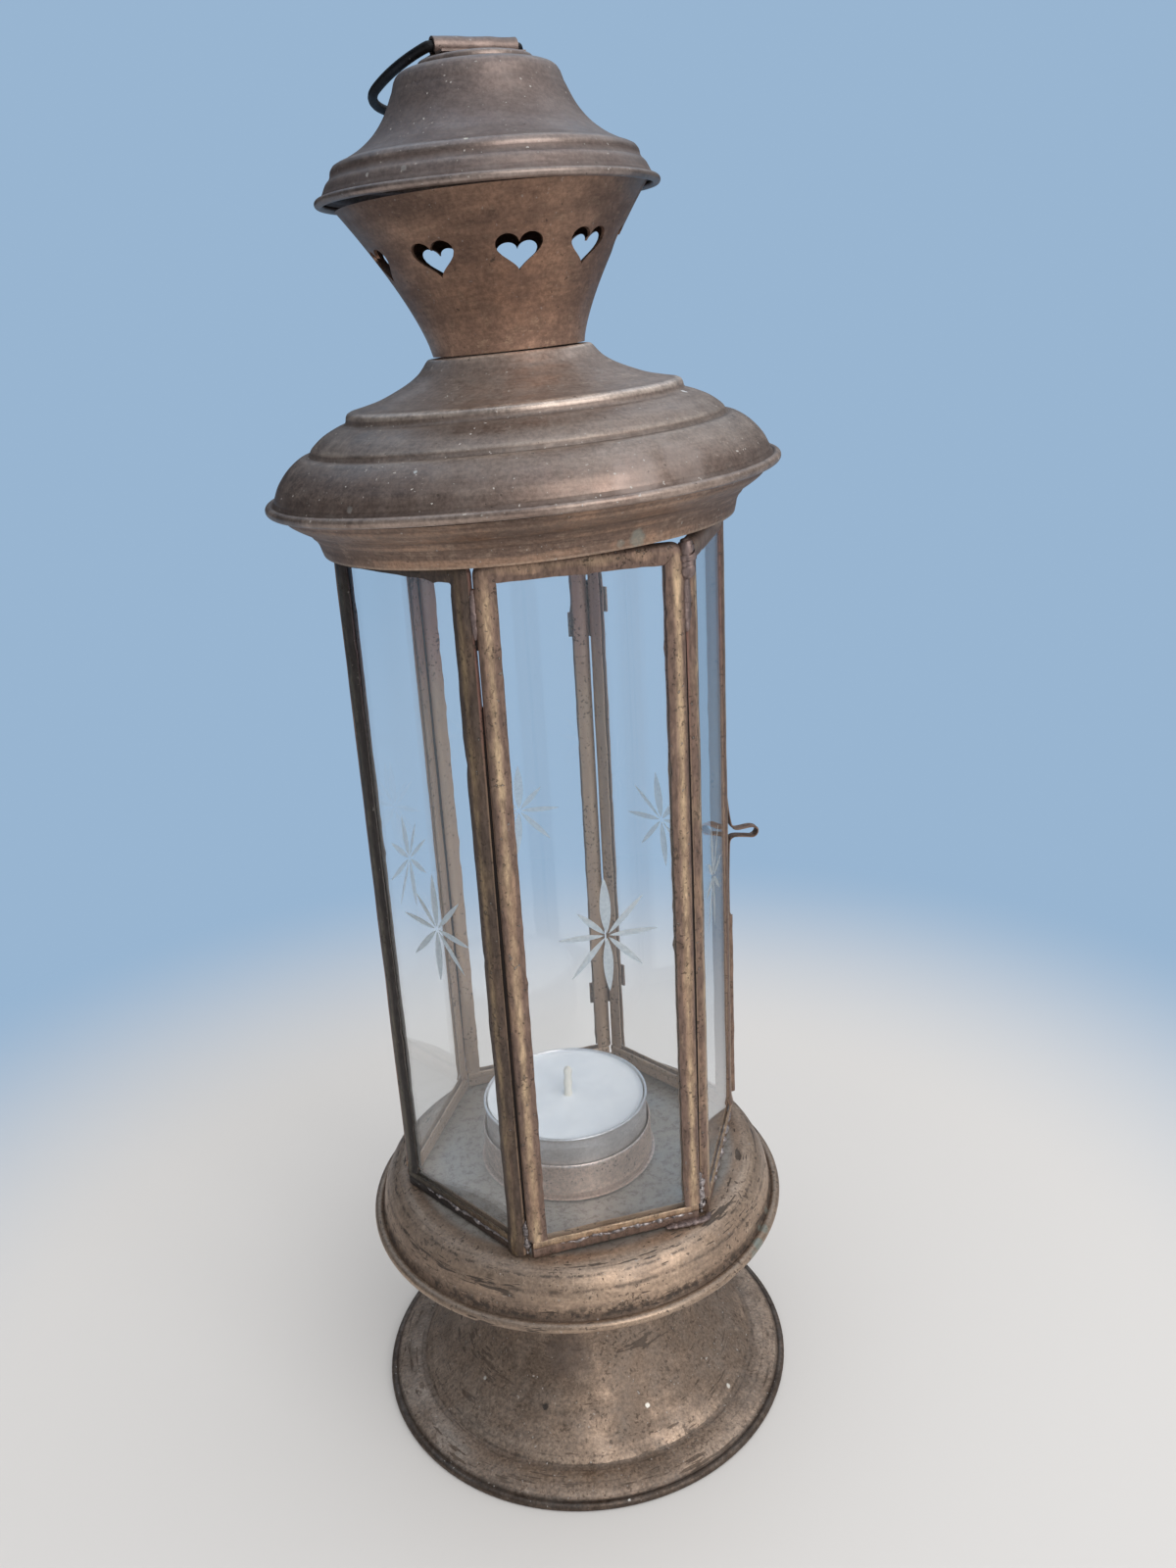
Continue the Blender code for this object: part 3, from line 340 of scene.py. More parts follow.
def add(tree, kind, inputs=(), **settings):
    """Add a node with its settings, and fill its inputs with values or links."""
    made = tree.nodes.new(kind)
    for key, value in settings.items():
        setattr(made, key, value)
    for key, value in dict(inputs).items():
        if isinstance(value, bpy.types.NodeSocket):
            tree.links.new(value, made.inputs[key])
        else:
            made.inputs[key].default_value = value
    return made


def maths(tree, operation, first, second=0.0, third=0.0, clamp=False):
    """The result of one Math node."""
    inputs = {0: first, 1: second, 2: third}
    return add(tree, "ShaderNodeMath", inputs, operation=operation, use_clamp=clamp).outputs[0]


def product(tree, first, *others):
    """Several values multiplied together."""
    for other in others:
        first = maths(tree, "MULTIPLY", first, other)
    return first


def times_plus(tree, value, factor, rest):
    """A value times a factor, plus the rest."""
    return maths(tree, "MULTIPLY_ADD", value, factor, rest)


def opposite(tree, share):
    """One less a share."""
    return maths(tree, "SUBTRACT", 1.0, share)


def about_middle(tree, value, factor, rest):
    """A noise's value counted from its middle, times a factor, plus the rest."""
    return times_plus(tree, maths(tree, "SUBTRACT", value, 0.5), factor, rest)


def vector_maths(tree, operation, first, second=(0.0, 0.0, 0.0)):
    """The vector and the value that one Vector Math node gives."""
    return add(tree, "ShaderNodeVectorMath", {0: first, 1: second}, operation=operation).outputs


def stretched(tree, where, scale):
    """A place whose parts are multiplied by a scale."""
    return add(tree, "ShaderNodeMapping", {"Vector": where, "Scale": scale}).outputs[0]


def blend_colour(tree, share, first, second, mode="MIX"):
    """The colour between two, or one laid on the other, by a share."""
    inputs = {0: share, 6: first, 7: second}
    return add(tree, "ShaderNodeMix", inputs, data_type="RGBA", blend_type=mode).outputs[2]


def noise(tree, where, scale, detail, rough, distort=0.0):
    """The value of a noise over a place."""
    inputs = {"Vector": where, "Scale": scale, "Detail": detail, "Roughness": rough}
    inputs["Distortion"] = distort
    return add(tree, "ShaderNodeTexNoise", inputs).outputs[0]


def between(tree, value, low, high):
    """0 below the low value, 1 above the high one and smooth between them."""
    inputs = {"Value": value, "From Min": low, "From Max": high}
    return add(tree, "ShaderNodeMapRange", inputs, interpolation_type="SMOOTHSTEP").outputs[0]


def new_group(name, inputs, outputs):
    """A node group with named inputs and outputs, its tree and its input node's sockets."""
    tree = bpy.data.node_groups.new(name, "ShaderNodeTree")
    for label, kind, value in inputs:
        socket = tree.interface.new_socket(label, in_out="INPUT", socket_type="NodeSocket" + kind)
        if value is not None:
            socket.default_value = value
    for label, kind in outputs:
        tree.interface.new_socket(label, in_out="OUTPUT", socket_type="NodeSocket" + kind)
    return tree, add(tree, "NodeGroupInput").outputs


def spun_place_group():
    """Turns a place about +Z into one whose marks run round the turn, as spinning leaves them."""
    given_kinds = [("Vector", "Vector", None), ("Round", "Float", 0.15), ("Rise", "Float", -1.0)]
    tree, given = new_group("spun_place", given_kinds, [("Vector", "Vector")])
    parts = add(tree, "ShaderNodeSeparateXYZ", {0: given["Vector"]}).outputs
    square = maths(tree, "ADD", product(tree, parts[0], parts[0]), product(tree, parts[1], parts[1]))
    radius = maths(tree, "SQRT", square)
    scale = maths(tree, "DIVIDE", given["Round"], maths(tree, "ADD", radius, 0.004))
    x, y = (product(tree, parts[axis], scale, 0.045) for axis in (0, 1))
    lifted = times_plus(tree, radius, 0.83, product(tree, parts[2], given["Rise"]))
    moved = add(tree, "ShaderNodeCombineXYZ", {0: x, 1: y, 2: lifted})
    add(tree, "NodeGroupOutput", {"Vector": moved.outputs[0]})
    return tree


def patina_group():
    """Old brass: oxide in clouds over warm metal, paler on crests from real wearing and from a painted
    highlight, darker in hollows and on rims.
    """
    tree, given = new_group(
        "patina",
        [
            ("Vector", "Vector", None),
            ("Spun", "Vector", None),
            ("Metal", "Color", (0.3, 0.22, 0.15, 1.0)),
            ("Oxide", "Color", (0.12, 0.09, 0.06, 1.0)),
            ("Rubbed And Sheen", "Color", (0.42, 0.33, 0.24, 1.0)),
            ("Crest", "Float", 0.0),
            ("Rim", "Float", 0.0),
            ("Wear And Sheen", "Float", 0.3),
            ("Rim Dark", "Float", 0.4),
            ("Cloud Scale", "Float", 55.0),
            ("Oxide Share", "Float", 0.5),
            ("Streaks", "Float", 0.4),
            ("Grain", "Float", 0.45),
        ],
        [("Color", "Color"), ("Roughness", "Float"), ("Metallic", "Float"), ("Height", "Float")],
    )
    where, streaks = given["Vector"], given["Streaks"]
    cloud = noise(tree, where, given["Cloud Scale"], 6.0, 0.62, 0.4)
    mottle = noise(tree, where, product(tree, given["Cloud Scale"], 6.0), 5.0, 0.7)
    grain = between(tree, noise(tree, where, 1350.0, 4.0, 0.7), 0.32, 0.68)
    streak = noise(tree, given["Spun"], 1100.0, 4.0, 0.7)
    broad = noise(tree, given["Spun"], 210.0, 3.0, 0.6)
    low = times_plus(tree, given["Oxide Share"], -0.5, 0.78)
    shaded = times_plus(tree, mottle, 0.34, product(tree, cloud, 0.78))
    shaded = about_middle(tree, broad, streaks, shaded)
    hollow = maths(tree, "MAXIMUM", product(tree, given["Crest"], -1.0), 0.0)
    shaded = times_plus(tree, hollow, 0.5, shaded)
    oxide = between(tree, shaded, maths(tree, "SUBTRACT", low, 0.13), maths(tree, "ADD", low, 0.16))
    colour = blend_colour(tree, oxide, given["Metal"], given["Oxide"])
    # On crests the paler colour is partly real wearing and partly a painted highlight, strongest on the
    # cames and on the dome's and cap's step lines.
    crest = product(tree, maths(tree, "MAXIMUM", given["Crest"], 0.0), given["Wear And Sheen"])
    rub_and_sheen = product(tree, crest, between(tree, times_plus(tree, cloud, 0.6, mottle), 0.50, 0.95))
    bright = between(tree, times_plus(tree, streak, streaks, mottle), 0.7, 1.02)
    worn_and_sheen = maths(tree, "MAXIMUM", rub_and_sheen, product(tree, bright, 0.45), clamp=True)
    colour = blend_colour(tree, worn_and_sheen, colour, given["Rubbed And Sheen"])
    soot = blend_colour(tree, 1.0, given["Oxide"], (0.36, 0.36, 0.38, 1.0), "MULTIPLY")
    edge = product(tree, given["Rim"], given["Rim Dark"])
    edge = maths(tree, "MULTIPLY", edge, maths(tree, "ADD", mottle, 0.4), clamp=True)
    colour = blend_colour(tree, edge, colour, soot)
    fine = about_middle(tree, grain, given["Grain"], 1.0)
    fine = about_middle(tree, streak, product(tree, streaks, 1.8), fine)
    shade = add(tree, "ShaderNodeCombineColor", {0: fine, 1: fine, 2: fine}).outputs[0]
    colour = blend_colour(tree, 1.0, colour, shade, "MULTIPLY")
    rough = times_plus(tree, grain, 0.08, times_plus(tree, oxide, 0.16, 0.36))
    rough = times_plus(tree, worn_and_sheen, -0.10, rough)
    metal = times_plus(tree, oxide, -0.22, 0.92)
    height = times_plus(tree, grain, 0.3, times_plus(tree, streak, streaks, mottle))
    outputs = {"Color": colour, "Roughness": rough, "Metallic": metal, "Height": height}
    add(tree, "NodeGroupOutput", outputs)
    return tree


def speck_group():
    """Small pits and specks: the high parts of a fine noise, in clumps, more or fewer by a share."""
    tree, given = new_group(
        "specks",
        [
            ("Vector", "Vector", None),
            ("Scale", "Float", 700.0),
            ("Share", "Float", 0.2),
            ("Soft", "Float", 0.05),
            ("Clump", "Float", 0.45),
        ],
        [("Mask", "Float")],
    )
    fine = noise(tree, given["Vector"], given["Scale"], 2.0, 0.55)
    clumps = noise(tree, given["Vector"], product(tree, given["Scale"], 0.13), 3.0, 0.6)
    value = about_middle(tree, clumps, given["Clump"], fine)
    limit = times_plus(tree, given["Share"], -0.3, 0.78)
    mask = between(tree, value, limit, maths(tree, "ADD", limit, given["Soft"]))
    add(tree, "NodeGroupOutput", {"Mask": mask})
    return tree


def spot_group():
    """A soft patch about one point, with an uneven edge."""
    tree, given = new_group(
        "spot",
        [
            ("Vector", "Vector", None),
            ("Centre", "Vector", None),
            ("Radius", "Float", 0.001),
            ("Uneven", "Float", 0.5),
        ],
        [("Mask", "Float")],
    )
    gap = vector_maths(tree, "DISTANCE", given["Vector"], given["Centre"])["Value"]
    size = maths(tree, "DIVIDE", gap, given["Radius"])
    edge = noise(tree, given["Vector"], maths(tree, "DIVIDE", 1.6, given["Radius"]), 4.0, 0.65)
    value = about_middle(tree, edge, given["Uneven"], size)
    add(tree, "NodeGroupOutput", {"Mask": opposite(tree, between(tree, value, 0.55, 1.0))})
    return tree


def dust_group():
    """Pale dust and lint: a film that is thicker on what faces up, and scattered grains."""
    given_kinds = [("Vector", "Vector", None), ("Share", "Float", 0.2)]
    tree, given = new_group("dust", given_kinds, [("Mask", "Float")])
    facing = add(tree, "ShaderNodeNewGeometry").outputs["Normal"]
    up = between(tree, add(tree, "ShaderNodeSeparateXYZ", {0: facing}).outputs[2], -0.2, 1.0)
    film = between(tree, noise(tree, given["Vector"], 190.0, 5.0, 0.65), 0.35, 0.8)
    film = product(tree, film, up, given["Share"])
    grains = between(tree, noise(tree, given["Vector"], 1250.0, 1.0, 0.5), 0.735, 0.76)
    grains = maths(tree, "MULTIPLY", grains, product(tree, given["Share"], 4.0), clamp=True)
    add(tree, "NodeGroupOutput", {"Mask": maths(tree, "MAXIMUM", film, grains, clamp=True)})
    return tree


SPUN_PLACE = spun_place_group()
PATINA = patina_group()
SPECKS = speck_group()
SPOT = spot_group()
DUST = dust_group()


def group(tree, used, inputs):
    """The outputs of a node that places one of the groups."""
    return add(tree, "ShaderNodeGroup", inputs, node_tree=used).outputs


def colour(red, green, blue):
    """A colour with full alpha."""
    return (red, green, blue, 1.0)


def new_material(name):
    """A material, its tree, its Principled shader and the piece's own place."""
    material = bpy.data.materials.new(name)
    material.use_nodes = True
    tree = material.node_tree
    shader = tree.nodes["Principled BSDF"]
    where = add(tree, "ShaderNodeTexCoord").outputs["Object"]
    return material, tree, shader, where


def mark(tree, label):
    """The number that a piece carries at its points under a label."""
    return add(tree, "ShaderNodeAttribute", attribute_name=label).outputs["Fac"]


def tint_past(tree, base, value, low, high, tint):
    """A colour with a tint laid on it, more and more as a value goes from low to high."""
    tinted = blend_colour(tree, 1.0, base, tint, "MULTIPLY")
    return blend_colour(tree, between(tree, value, low, high), base, tinted)


def dress(tree, shader, base, rough, height, strength, distance):
    """Give a shader its colour, its roughness and a bump."""
    bump = add(tree, "ShaderNodeBump", {"Height": height, "Strength": strength, "Distance": distance})
    tree.links.new(base, shader.inputs["Base Color"])
    tree.links.new(rough, shader.inputs["Roughness"])
    tree.links.new(bump.outputs[0], shader.inputs["Normal"])


# How a brass skin looks where its own call says nothing else. Heights, radii and places are in metres,
# the scales of clouds, speck and dash are per metre, and most of the rest are shares.
#   inside: the low and the high colour of a came's hidden side, painted light below and a painted
#       reddish reflection above, and where up it they change
#   sides: two places across and a tint of painted shade   bands: two heights and a tint of painted light and shade
#   rings: a radius, a width and a strength        middle: a radius and the two colours within it, dust and a painted reflection of the panes
#   spots: a centre, a radius, a colour and a strength

BRASS_LOOK = {
    "spun": True,
    "shift": (0.0, 0.0, 0.0),
    "round": 0.12,
    "rise": -1.0,
    "stretch": (1.0, 1.0, 0.12),
    "clouds": 55.0,
    "share": 0.5,
    "streaks": 0.4,
    "grain": 0.45,
    "wear": 0.25,
    "rim_dark": 0.4,
    "inside": None,
    "sides": None,
    "specks": 0.2,
    "speck": 900.0,
    "soft": 0.06,
    "dashes": None,
    "dash": 900.0,
    "speck_depth": 0.6,
    "speck_colour": colour(0.05, 0.042, 0.035),
    "rings": (),
    "middle": None,
    "bands": (),
    "spots": (),
    "dust": 0.12,
    "rough": 0.0,
    "bump": 0.35,
}
DUST_COLOUR = colour(0.42, 0.40, 0.38)
SOIL_COLOUR = colour(0.15, 0.13, 0.115)


def aged_brass(name, metal, oxide, rubbed_and_sheen, **how):
    """One of the lantern's brass skins, with its own colours, specks, streaks, spots and dust, and
    painted light and shade where its call asks for it.
    """
    look = SimpleNamespace(**{**BRASS_LOOK, **how})
    material, tree, shader, where = new_material(name)
    if look.spun:
        middle = add(tree, "ShaderNodeMapping", {"Vector": where, "Location": look.shift}).outputs[0]
        turned = {"Vector": middle, "Round": look.round, "Rise": look.rise}
        spun = group(tree, SPUN_PLACE, turned)["Vector"]
    else:
        spun = stretched(tree, where, look.stretch)
    skin = group(
        tree,
        PATINA,
        {
            "Vector": where if look.spun else spun,
            "Spun": spun,
            "Metal": metal,
            "Oxide": oxide,
            "Rubbed And Sheen": rubbed_and_sheen,
            "Crest": mark(tree, "crest"),
            "Rim": mark(tree, "rim"),
            "Wear And Sheen": look.wear,
            "Cloud Scale": look.clouds,
            "Oxide Share": look.share,
            "Streaks": look.streaks,
            "Rim Dark": look.rim_dark,
            "Grain": look.grain,
        },
    )
    base = skin["Color"]
    parts = add(tree, "ShaderNodeSeparateXYZ", {0: where}).outputs
    # Painted light on a came's hidden side, lighter than its front, with a painted reddish reflection
    # higher up.
    if look.inside:
        painted_light_tan, red, low, high = look.inside
        painted_light_lining = blend_colour(tree, between(tree, parts[2], low, high), painted_light_tan, red)
        base = blend_colour(tree, product(tree, mark(tree, "inside"), 0.75), base, painted_light_lining)
    # Painted shade: a cool darker tint laid on more and more across the piece.
    if look.sides:
        base = tint_past(tree, base, parts[0], *look.sides)
    small = {"Vector": where, "Scale": look.speck, "Share": look.specks, "Soft": look.soft}
    specks = group(tree, SPECKS, small)["Mask"]
    if look.dashes:
        long = {"Vector": spun, "Scale": look.dash, "Share": look.dashes, "Soft": 0.05, "Clump": 1.25}
        specks = maths(tree, "MAXIMUM", product(tree, specks, 0.8), group(tree, SPECKS, long)["Mask"])
    base = blend_colour(tree, product(tree, specks, look.speck_depth), base, look.speck_colour)
    flat = vector_maths(tree, "MULTIPLY", where, (1.0, 1.0, 0.0))[0]
    out = vector_maths(tree, "LENGTH", flat)["Value"]
    for ring, wide, strength in look.rings:
        off = maths(tree, "ABSOLUTE", maths(tree, "SUBTRACT", out, ring))
        broken = between(tree, noise(tree, where, 420.0, 4.0, 0.75), 0.42, 0.60)
        line = product(tree, opposite(tree, between(tree, off, 0.0, wide)), broken, strength)
        base = blend_colour(tree, line, base, look.speck_colour)
    # The dish floor within the frame: pale grey of dust and a painted reflection of the panes, with
    # specks of soil.
    if look.middle:
        reach, under, film = look.middle
        uneven = times_plus(tree, noise(tree, where, 160.0, 4.0, 0.6), 0.7, 0.5)
        fine = between(tree, noise(tree, where, 480.0, 6.0, 0.8), 0.47, 0.62)
        dust_and_painted_reflection = blend_colour(tree, uneven, under, film)
        dust_and_painted_reflection = blend_colour(tree, product(tree, fine, 0.55), dust_and_painted_reflection, SOIL_COLOUR)
        within = opposite(tree, between(tree, out, reach - 0.001, reach + 0.0015))
        base = blend_colour(tree, within, base, dust_and_painted_reflection)
    # Painted light and shade by height: each band multiplies the colour by its tint, lighter above one
    # and darker below it.
    for low, high, tint in look.bands:
        base = tint_past(tree, base, parts[2], low, high, tint)
    for centre, radius, tint, strength in look.spots:
        patch = {"Vector": where, "Centre": centre, "Radius": radius, "Uneven": 0.9}
        mask = group(tree, SPOT, patch)["Mask"]
        base = blend_colour(tree, product(tree, mask, strength), base, tint)
    dust = group(tree, DUST, {"Vector": where, "Share": look.dust})["Mask"]
    base = blend_colour(tree, dust, base, DUST_COLOUR)
    dull = product(tree, maths(tree, "MAXIMUM", dust, specks), 0.2)
    rough = maths(tree, "ADD", skin["Roughness"], dull)
    rough = maths(tree, "ADD", rough, look.rough, clamp=True)
    height = times_plus(tree, specks, -0.9, skin["Height"])
    dress(tree, shader, base, rough, height, look.bump, 0.00006)
    metallic = product(tree, skin["Metallic"], opposite(tree, product(tree, dust, 0.8)))
    tree.links.new(metallic, shader.inputs["Metallic"])
    return material


VERDIGRIS = colour(0.25, 0.285, 0.255)
PALE_SPOT = colour(0.75, 0.72, 0.66)

foot_brass = aged_brass(
    "foot_brass",
    colour(0.485, 0.355, 0.266),
    colour(0.203, 0.148, 0.112),
    colour(0.56, 0.45, 0.35),
    clouds=44.0,
    share=0.50,
    streaks=0.22,
    grain=0.60,
    wear=0.10,
    rim_dark=1.0,
    specks=0.62,
    soft=0.09,
    speck=1000.0,
    dashes=0.30,
    dash=1000.0,
    round=0.15,
    speck_depth=0.62,
    speck_colour=colour(0.075, 0.056, 0.045),
    rings=[
        (0.0421, 0.00045, 0.75),
        (0.0434, 0.00035, 0.6),
        (0.0408, 0.00030, 0.45),
        (0.0462, 0.00030, 0.4),
    ],
    dust=0.16,
    bump=0.5,
    spots=[
        ((-0.01785, -0.02802, 0.01146), 0.00095, colour(0.035, 0.026, 0.022), 0.95),
        ((0.00574, -0.03428, 0.01005), 0.00070, PALE_SPOT, 1.0),
        ((0.02797, -0.03026, 0.00479), 0.00070, PALE_SPOT, 0.9),
        ((-0.02990, -0.01474, 0.01136), 0.00055, PALE_SPOT, 0.9),
        ((-0.00444, -0.05071, 0.00199), 0.00055, PALE_SPOT, 0.9),
        ((-0.01100, -0.02450, 0.02150), 0.00700, colour(0.13, 0.095, 0.080), 0.5),
    ],
)
dish_brass = aged_brass(
    "dish_brass",
    colour(0.465, 0.337, 0.248),
    colour(0.218, 0.156, 0.118),
    colour(0.66, 0.52, 0.40),
    clouds=44.0,
    share=0.46,
    streaks=0.40,
    grain=0.40,
    wear=0.30,
    rim_dark=0.30,
    specks=0.46,
    soft=0.06,
    speck=1100.0,
    dashes=0.34,
    dash=1250.0,
    round=0.16,
    speck_depth=0.82,
    rings=[
        (0.0446, 0.00040, 0.8),
        (0.0465, 0.00030, 0.6),
        (0.0434, 0.00025, 0.5),
        (0.04795, 0.00050, 0.9),
    ],
    speck_colour=colour(0.065, 0.052, 0.045),
    dust=0.12,
    bump=0.6,
    # The floor inside the panes: dust and a painted reflection of the glass.
    middle=(0.0385, colour(0.50, 0.455, 0.41), colour(0.40, 0.375, 0.345)),
    spots=[
        ((0.03357, -0.03728, 0.05219), 0.0021, VERDIGRIS, 0.75),
        ((0.03113, -0.03913, 0.05120), 0.0017, VERDIGRIS, 0.65),
        ((0.03630, -0.03300, 0.05250), 0.0016, VERDIGRIS, 0.60),
        ((0.03914, -0.02715, 0.05262), 0.0013, VERDIGRIS, 0.45),
        ((-0.00560, -0.04250, 0.06080), 0.0012, colour(0.12, 0.13, 0.105), 0.7),
    ],
)
skirt_brass = aged_brass(
    "skirt_brass",
    colour(0.335, 0.218, 0.155),
    colour(0.165, 0.112, 0.088),
    colour(0.50, 0.38, 0.29),
    share=0.47,
    streaks=0.42,
    rise=1.6,
    specks=0.15,
    wear=0.5,
    dust=0.14,
    spots=[
        ((0.00923, -0.04112, 0.21771), 0.0020, VERDIGRIS, 0.50),
        ((0.00600, -0.04200, 0.21700), 0.0010, VERDIGRIS, 0.35),
    ],
)
dome_brass = aged_brass(
    "dome_brass",
    colour(0.325, 0.247, 0.207),
    colour(0.182, 0.140, 0.119),
    colour(0.56, 0.46, 0.39),
    clouds=34.0,
    share=0.46,
    streaks=0.34,
    wear=0.85,
    grain=0.36,
    specks=0.16,
    rim_dark=0.15,
    dust=0.22,
    rough=-0.05,
    # Painted light on the dome's upper slope and painted shade on its lower steps.
    bands=[(0.2375, 0.2430, colour(1.50, 1.54, 1.58)), (0.2345, 0.2290, colour(0.80, 0.76, 0.76))],
    spots=[
        ((0.02697, -0.01834, 0.24068), 0.00085, colour(0.85, 0.84, 0.82), 1.0),
        ((-0.03963, -0.03126, 0.22583), 0.00080, colour(0.45, 0.42, 0.39), 0.6),
        ((-0.02832, -0.03641, 0.23169), 0.00050, PALE_SPOT, 0.8),
        ((0.00748, -0.04785, 0.22947), 0.00550, colour(0.42, 0.34, 0.31), 0.30),
        ((0.01767, -0.04426, 0.23078), 0.00550, colour(0.42, 0.35, 0.32), 0.30),
    ],
)
neck_brass = aged_brass(
    "neck_brass",
    colour(0.345, 0.212, 0.150),
    colour(0.160, 0.098, 0.073),
    colour(0.54, 0.38, 0.26),
    clouds=60.0,
    share=0.5,
    streaks=0.34,
    rise=1.0,
    grain=0.40,
    specks=0.20,
    dust=0.08,
    rough=-0.04,
    # Painted shade under the cap at the neck's top, and painted light from the dome at its foot.
    bands=[
        (0.2600, 0.2760, colour(0.80, 0.82, 0.84)),
        (0.2600, 0.2500, colour(1.55, 1.58, 1.58)),
    ],
)
cap_brass = aged_brass(
    "cap_brass",
    colour(0.245, 0.186, 0.166),
    colour(0.152, 0.116, 0.105),
    colour(0.42, 0.34, 0.30),
    clouds=34.0,
    share=0.45,
    streaks=0.28,
    wear=0.60,
    grain=0.32,
    specks=0.12,
    rim_dark=0.10,
    dust=0.18,
    rough=-0.05,
    spots=[
        ((-0.01305, -0.02568, 0.28381), 0.00050, colour(0.80, 0.70, 0.55), 1.0),
        ((-0.02343, -0.02269, 0.27994), 0.00070, colour(0.42, 0.39, 0.36), 0.6),
        ((-0.02895, -0.01698, 0.27970), 0.00045, PALE_SPOT, 0.5),
    ],
)
# On the cames the paler crest colour is mostly a painted highlight, and the inside colours are painted
# light with a painted reddish reflection near the top.
frame_look = dict(
    clouds=130.0,
    share=0.58,
    streaks=0.30,
    grain=0.56,
    wear=1.15,
    spun=False,
    stretch=(1.0, 1.0, 0.30),
    specks=0.60,
    soft=0.10,
    speck=1250.0,
    dust=0.08,
    bump=0.45,
    inside=(colour(0.52, 0.375, 0.275), colour(0.46, 0.270, 0.225), 0.165, 0.190),
)
frame_brass = aged_brass(
    "frame_brass",
    colour(0.350, 0.236, 0.168),
    colour(0.182, 0.123, 0.099),
    colour(0.530, 0.390, 0.255),
    **frame_look,
)
# A darker, cooler copy of the frame's brass: painted shade on the left panel, which faces away from the
# light, bluer towards its far edge.
shaded_left_brass = aged_brass(
    "shaded_left_brass",
    colour(0.155, 0.106, 0.080),
    colour(0.088, 0.064, 0.052),
    colour(0.250, 0.180, 0.110),
    sides=(-0.0240, -0.0380, colour(0.42, 0.50, 0.60)),
    **frame_look,
)
dark_brass = aged_brass(
    "dark_brass",
    colour(0.200, 0.140, 0.100),
    colour(0.100, 0.074, 0.058),
    colour(0.30, 0.22, 0.16),
    share=0.6,
    streaks=0.3,
)
# Near black: a dark joint whose colour is mostly painted shade of the narrow gap between paired stiles.
seam_shade_brass = aged_brass(
    "seam_shade_brass",
    colour(0.040, 0.028, 0.024),
    colour(0.018, 0.014, 0.013),
    colour(0.08, 0.06, 0.045),
    share=0.6,
    streaks=0.1,
    spun=False,
    dust=0.02,
    rough=0.2,
)
socket_brass = aged_brass(
    "socket_brass",
    colour(0.690, 0.545, 0.470),
    colour(0.44, 0.340, 0.290),
    colour(0.78, 0.66, 0.58),
    clouds=70.0,
    share=0.4,
    streaks=0.2,
    specks=0.42,
    speck=1300.0,
    shift=(-CUP_OFFSET[0], -CUP_OFFSET[1], 0.0),
)
solder = aged_brass(
    "solder",
    colour(0.40, 0.36, 0.355),
    colour(0.19, 0.165, 0.165),
    colour(0.66, 0.63, 0.62),
    clouds=300.0,
    share=0.50,
    streaks=0.1,
    grain=0.8,
    spun=False,
    specks=0.25,
    dust=0.05,
    rough=-0.12,
    bump=0.8,
)
old_solder = aged_brass(
    "old_solder",
    colour(0.300, 0.225, 0.205),
    colour(0.155, 0.118, 0.115),
    colour(0.50, 0.42, 0.39),
    clouds=260.0,
    share=0.50,
    streaks=0.1,
    grain=0.6,
    spun=False,
    specks=0.25,
    dust=0.05,
    bump=0.7,
)
black_wire = aged_brass(
    "black_wire",
    colour(0.026, 0.026, 0.030),
    colour(0.012, 0.012, 0.014),
    colour(0.12, 0.11, 0.10),
    clouds=200.0,
    share=0.5,
    streaks=0.1,
    spun=False,
    specks=0.05,
    speck_colour=colour(0.30, 0.27, 0.22),
    dust=0.06,
)
foil = aged_brass(
    "foil",
    colour(0.78, 0.750, 0.74),
    colour(0.54, 0.510, 0.50),
    colour(0.90, 0.89, 0.88),
    clouds=90.0,
    share=0.35,
    streaks=0.25,
    grain=0.2,
    specks=0.0,
    dust=0.05,
    rough=-0.06,
    bump=0.2,
    shift=(-CUP_OFFSET[0], -CUP_OFFSET[1], 0.0),
)


def make_wax():
    """White wax: faint cloudiness and small dimples, with light under its skin."""
    material, tree, shader, where = new_material("white_wax")
    cloud = noise(tree, where, 120.0, 4.0, 0.6)
    share = between(tree, cloud, 0.3, 0.7)
    tint = blend_colour(tree, share, colour(0.88, 0.89, 0.91), colour(0.80, 0.815, 0.845))
    fine = noise(tree, where, 700.0, 3.0, 0.6)
    dress(tree, shader, tint, times_plus(tree, cloud, 0.2, 0.28), fine, 0.2, 0.0001)
    shader.inputs["Subsurface Weight"].default_value = 0.25
    shader.inputs["Subsurface Radius"].default_value = (0.002, 0.002, 0.002)
    shader.inputs["Subsurface Scale"].default_value = 1.0
    return material


def make_cotton():
    """Waxed cotton braid: cream yarns that cross at a slant."""
    material, tree, shader, where = new_material("wick_cotton")
    inputs = {"Vector": where, "Scale": 900.0, "Distortion": 2.0}
    wave = add(tree, "ShaderNodeTexWave", inputs, bands_direction="DIAGONAL").outputs["Fac"]
    shade = blend_colour(tree, wave, colour(0.84, 0.77, 0.65), colour(0.92, 0.88, 0.80))
    dress(tree, shader, shade, times_plus(tree, wave, 0.2, 0.7), wave, 0.6, 0.0001)
    return material


def let_lamps_through(tree, shader, tint):
    """Mix the shader with a clear one for shadow rays, so that lamps reach what is behind it."""
    clear = add(tree, "ShaderNodeBsdfTransparent", {"Color": tint}).outputs[0]
    shadow = add(tree, "ShaderNodeLightPath").outputs["Is Shadow Ray"]
    mixed = add(tree, "ShaderNodeMixShader", {0: shadow, 1: shader.outputs[0], 2: clear}).outputs[0]
    tree.links.new(mixed, tree.nodes["Material Output"].inputs["Surface"])


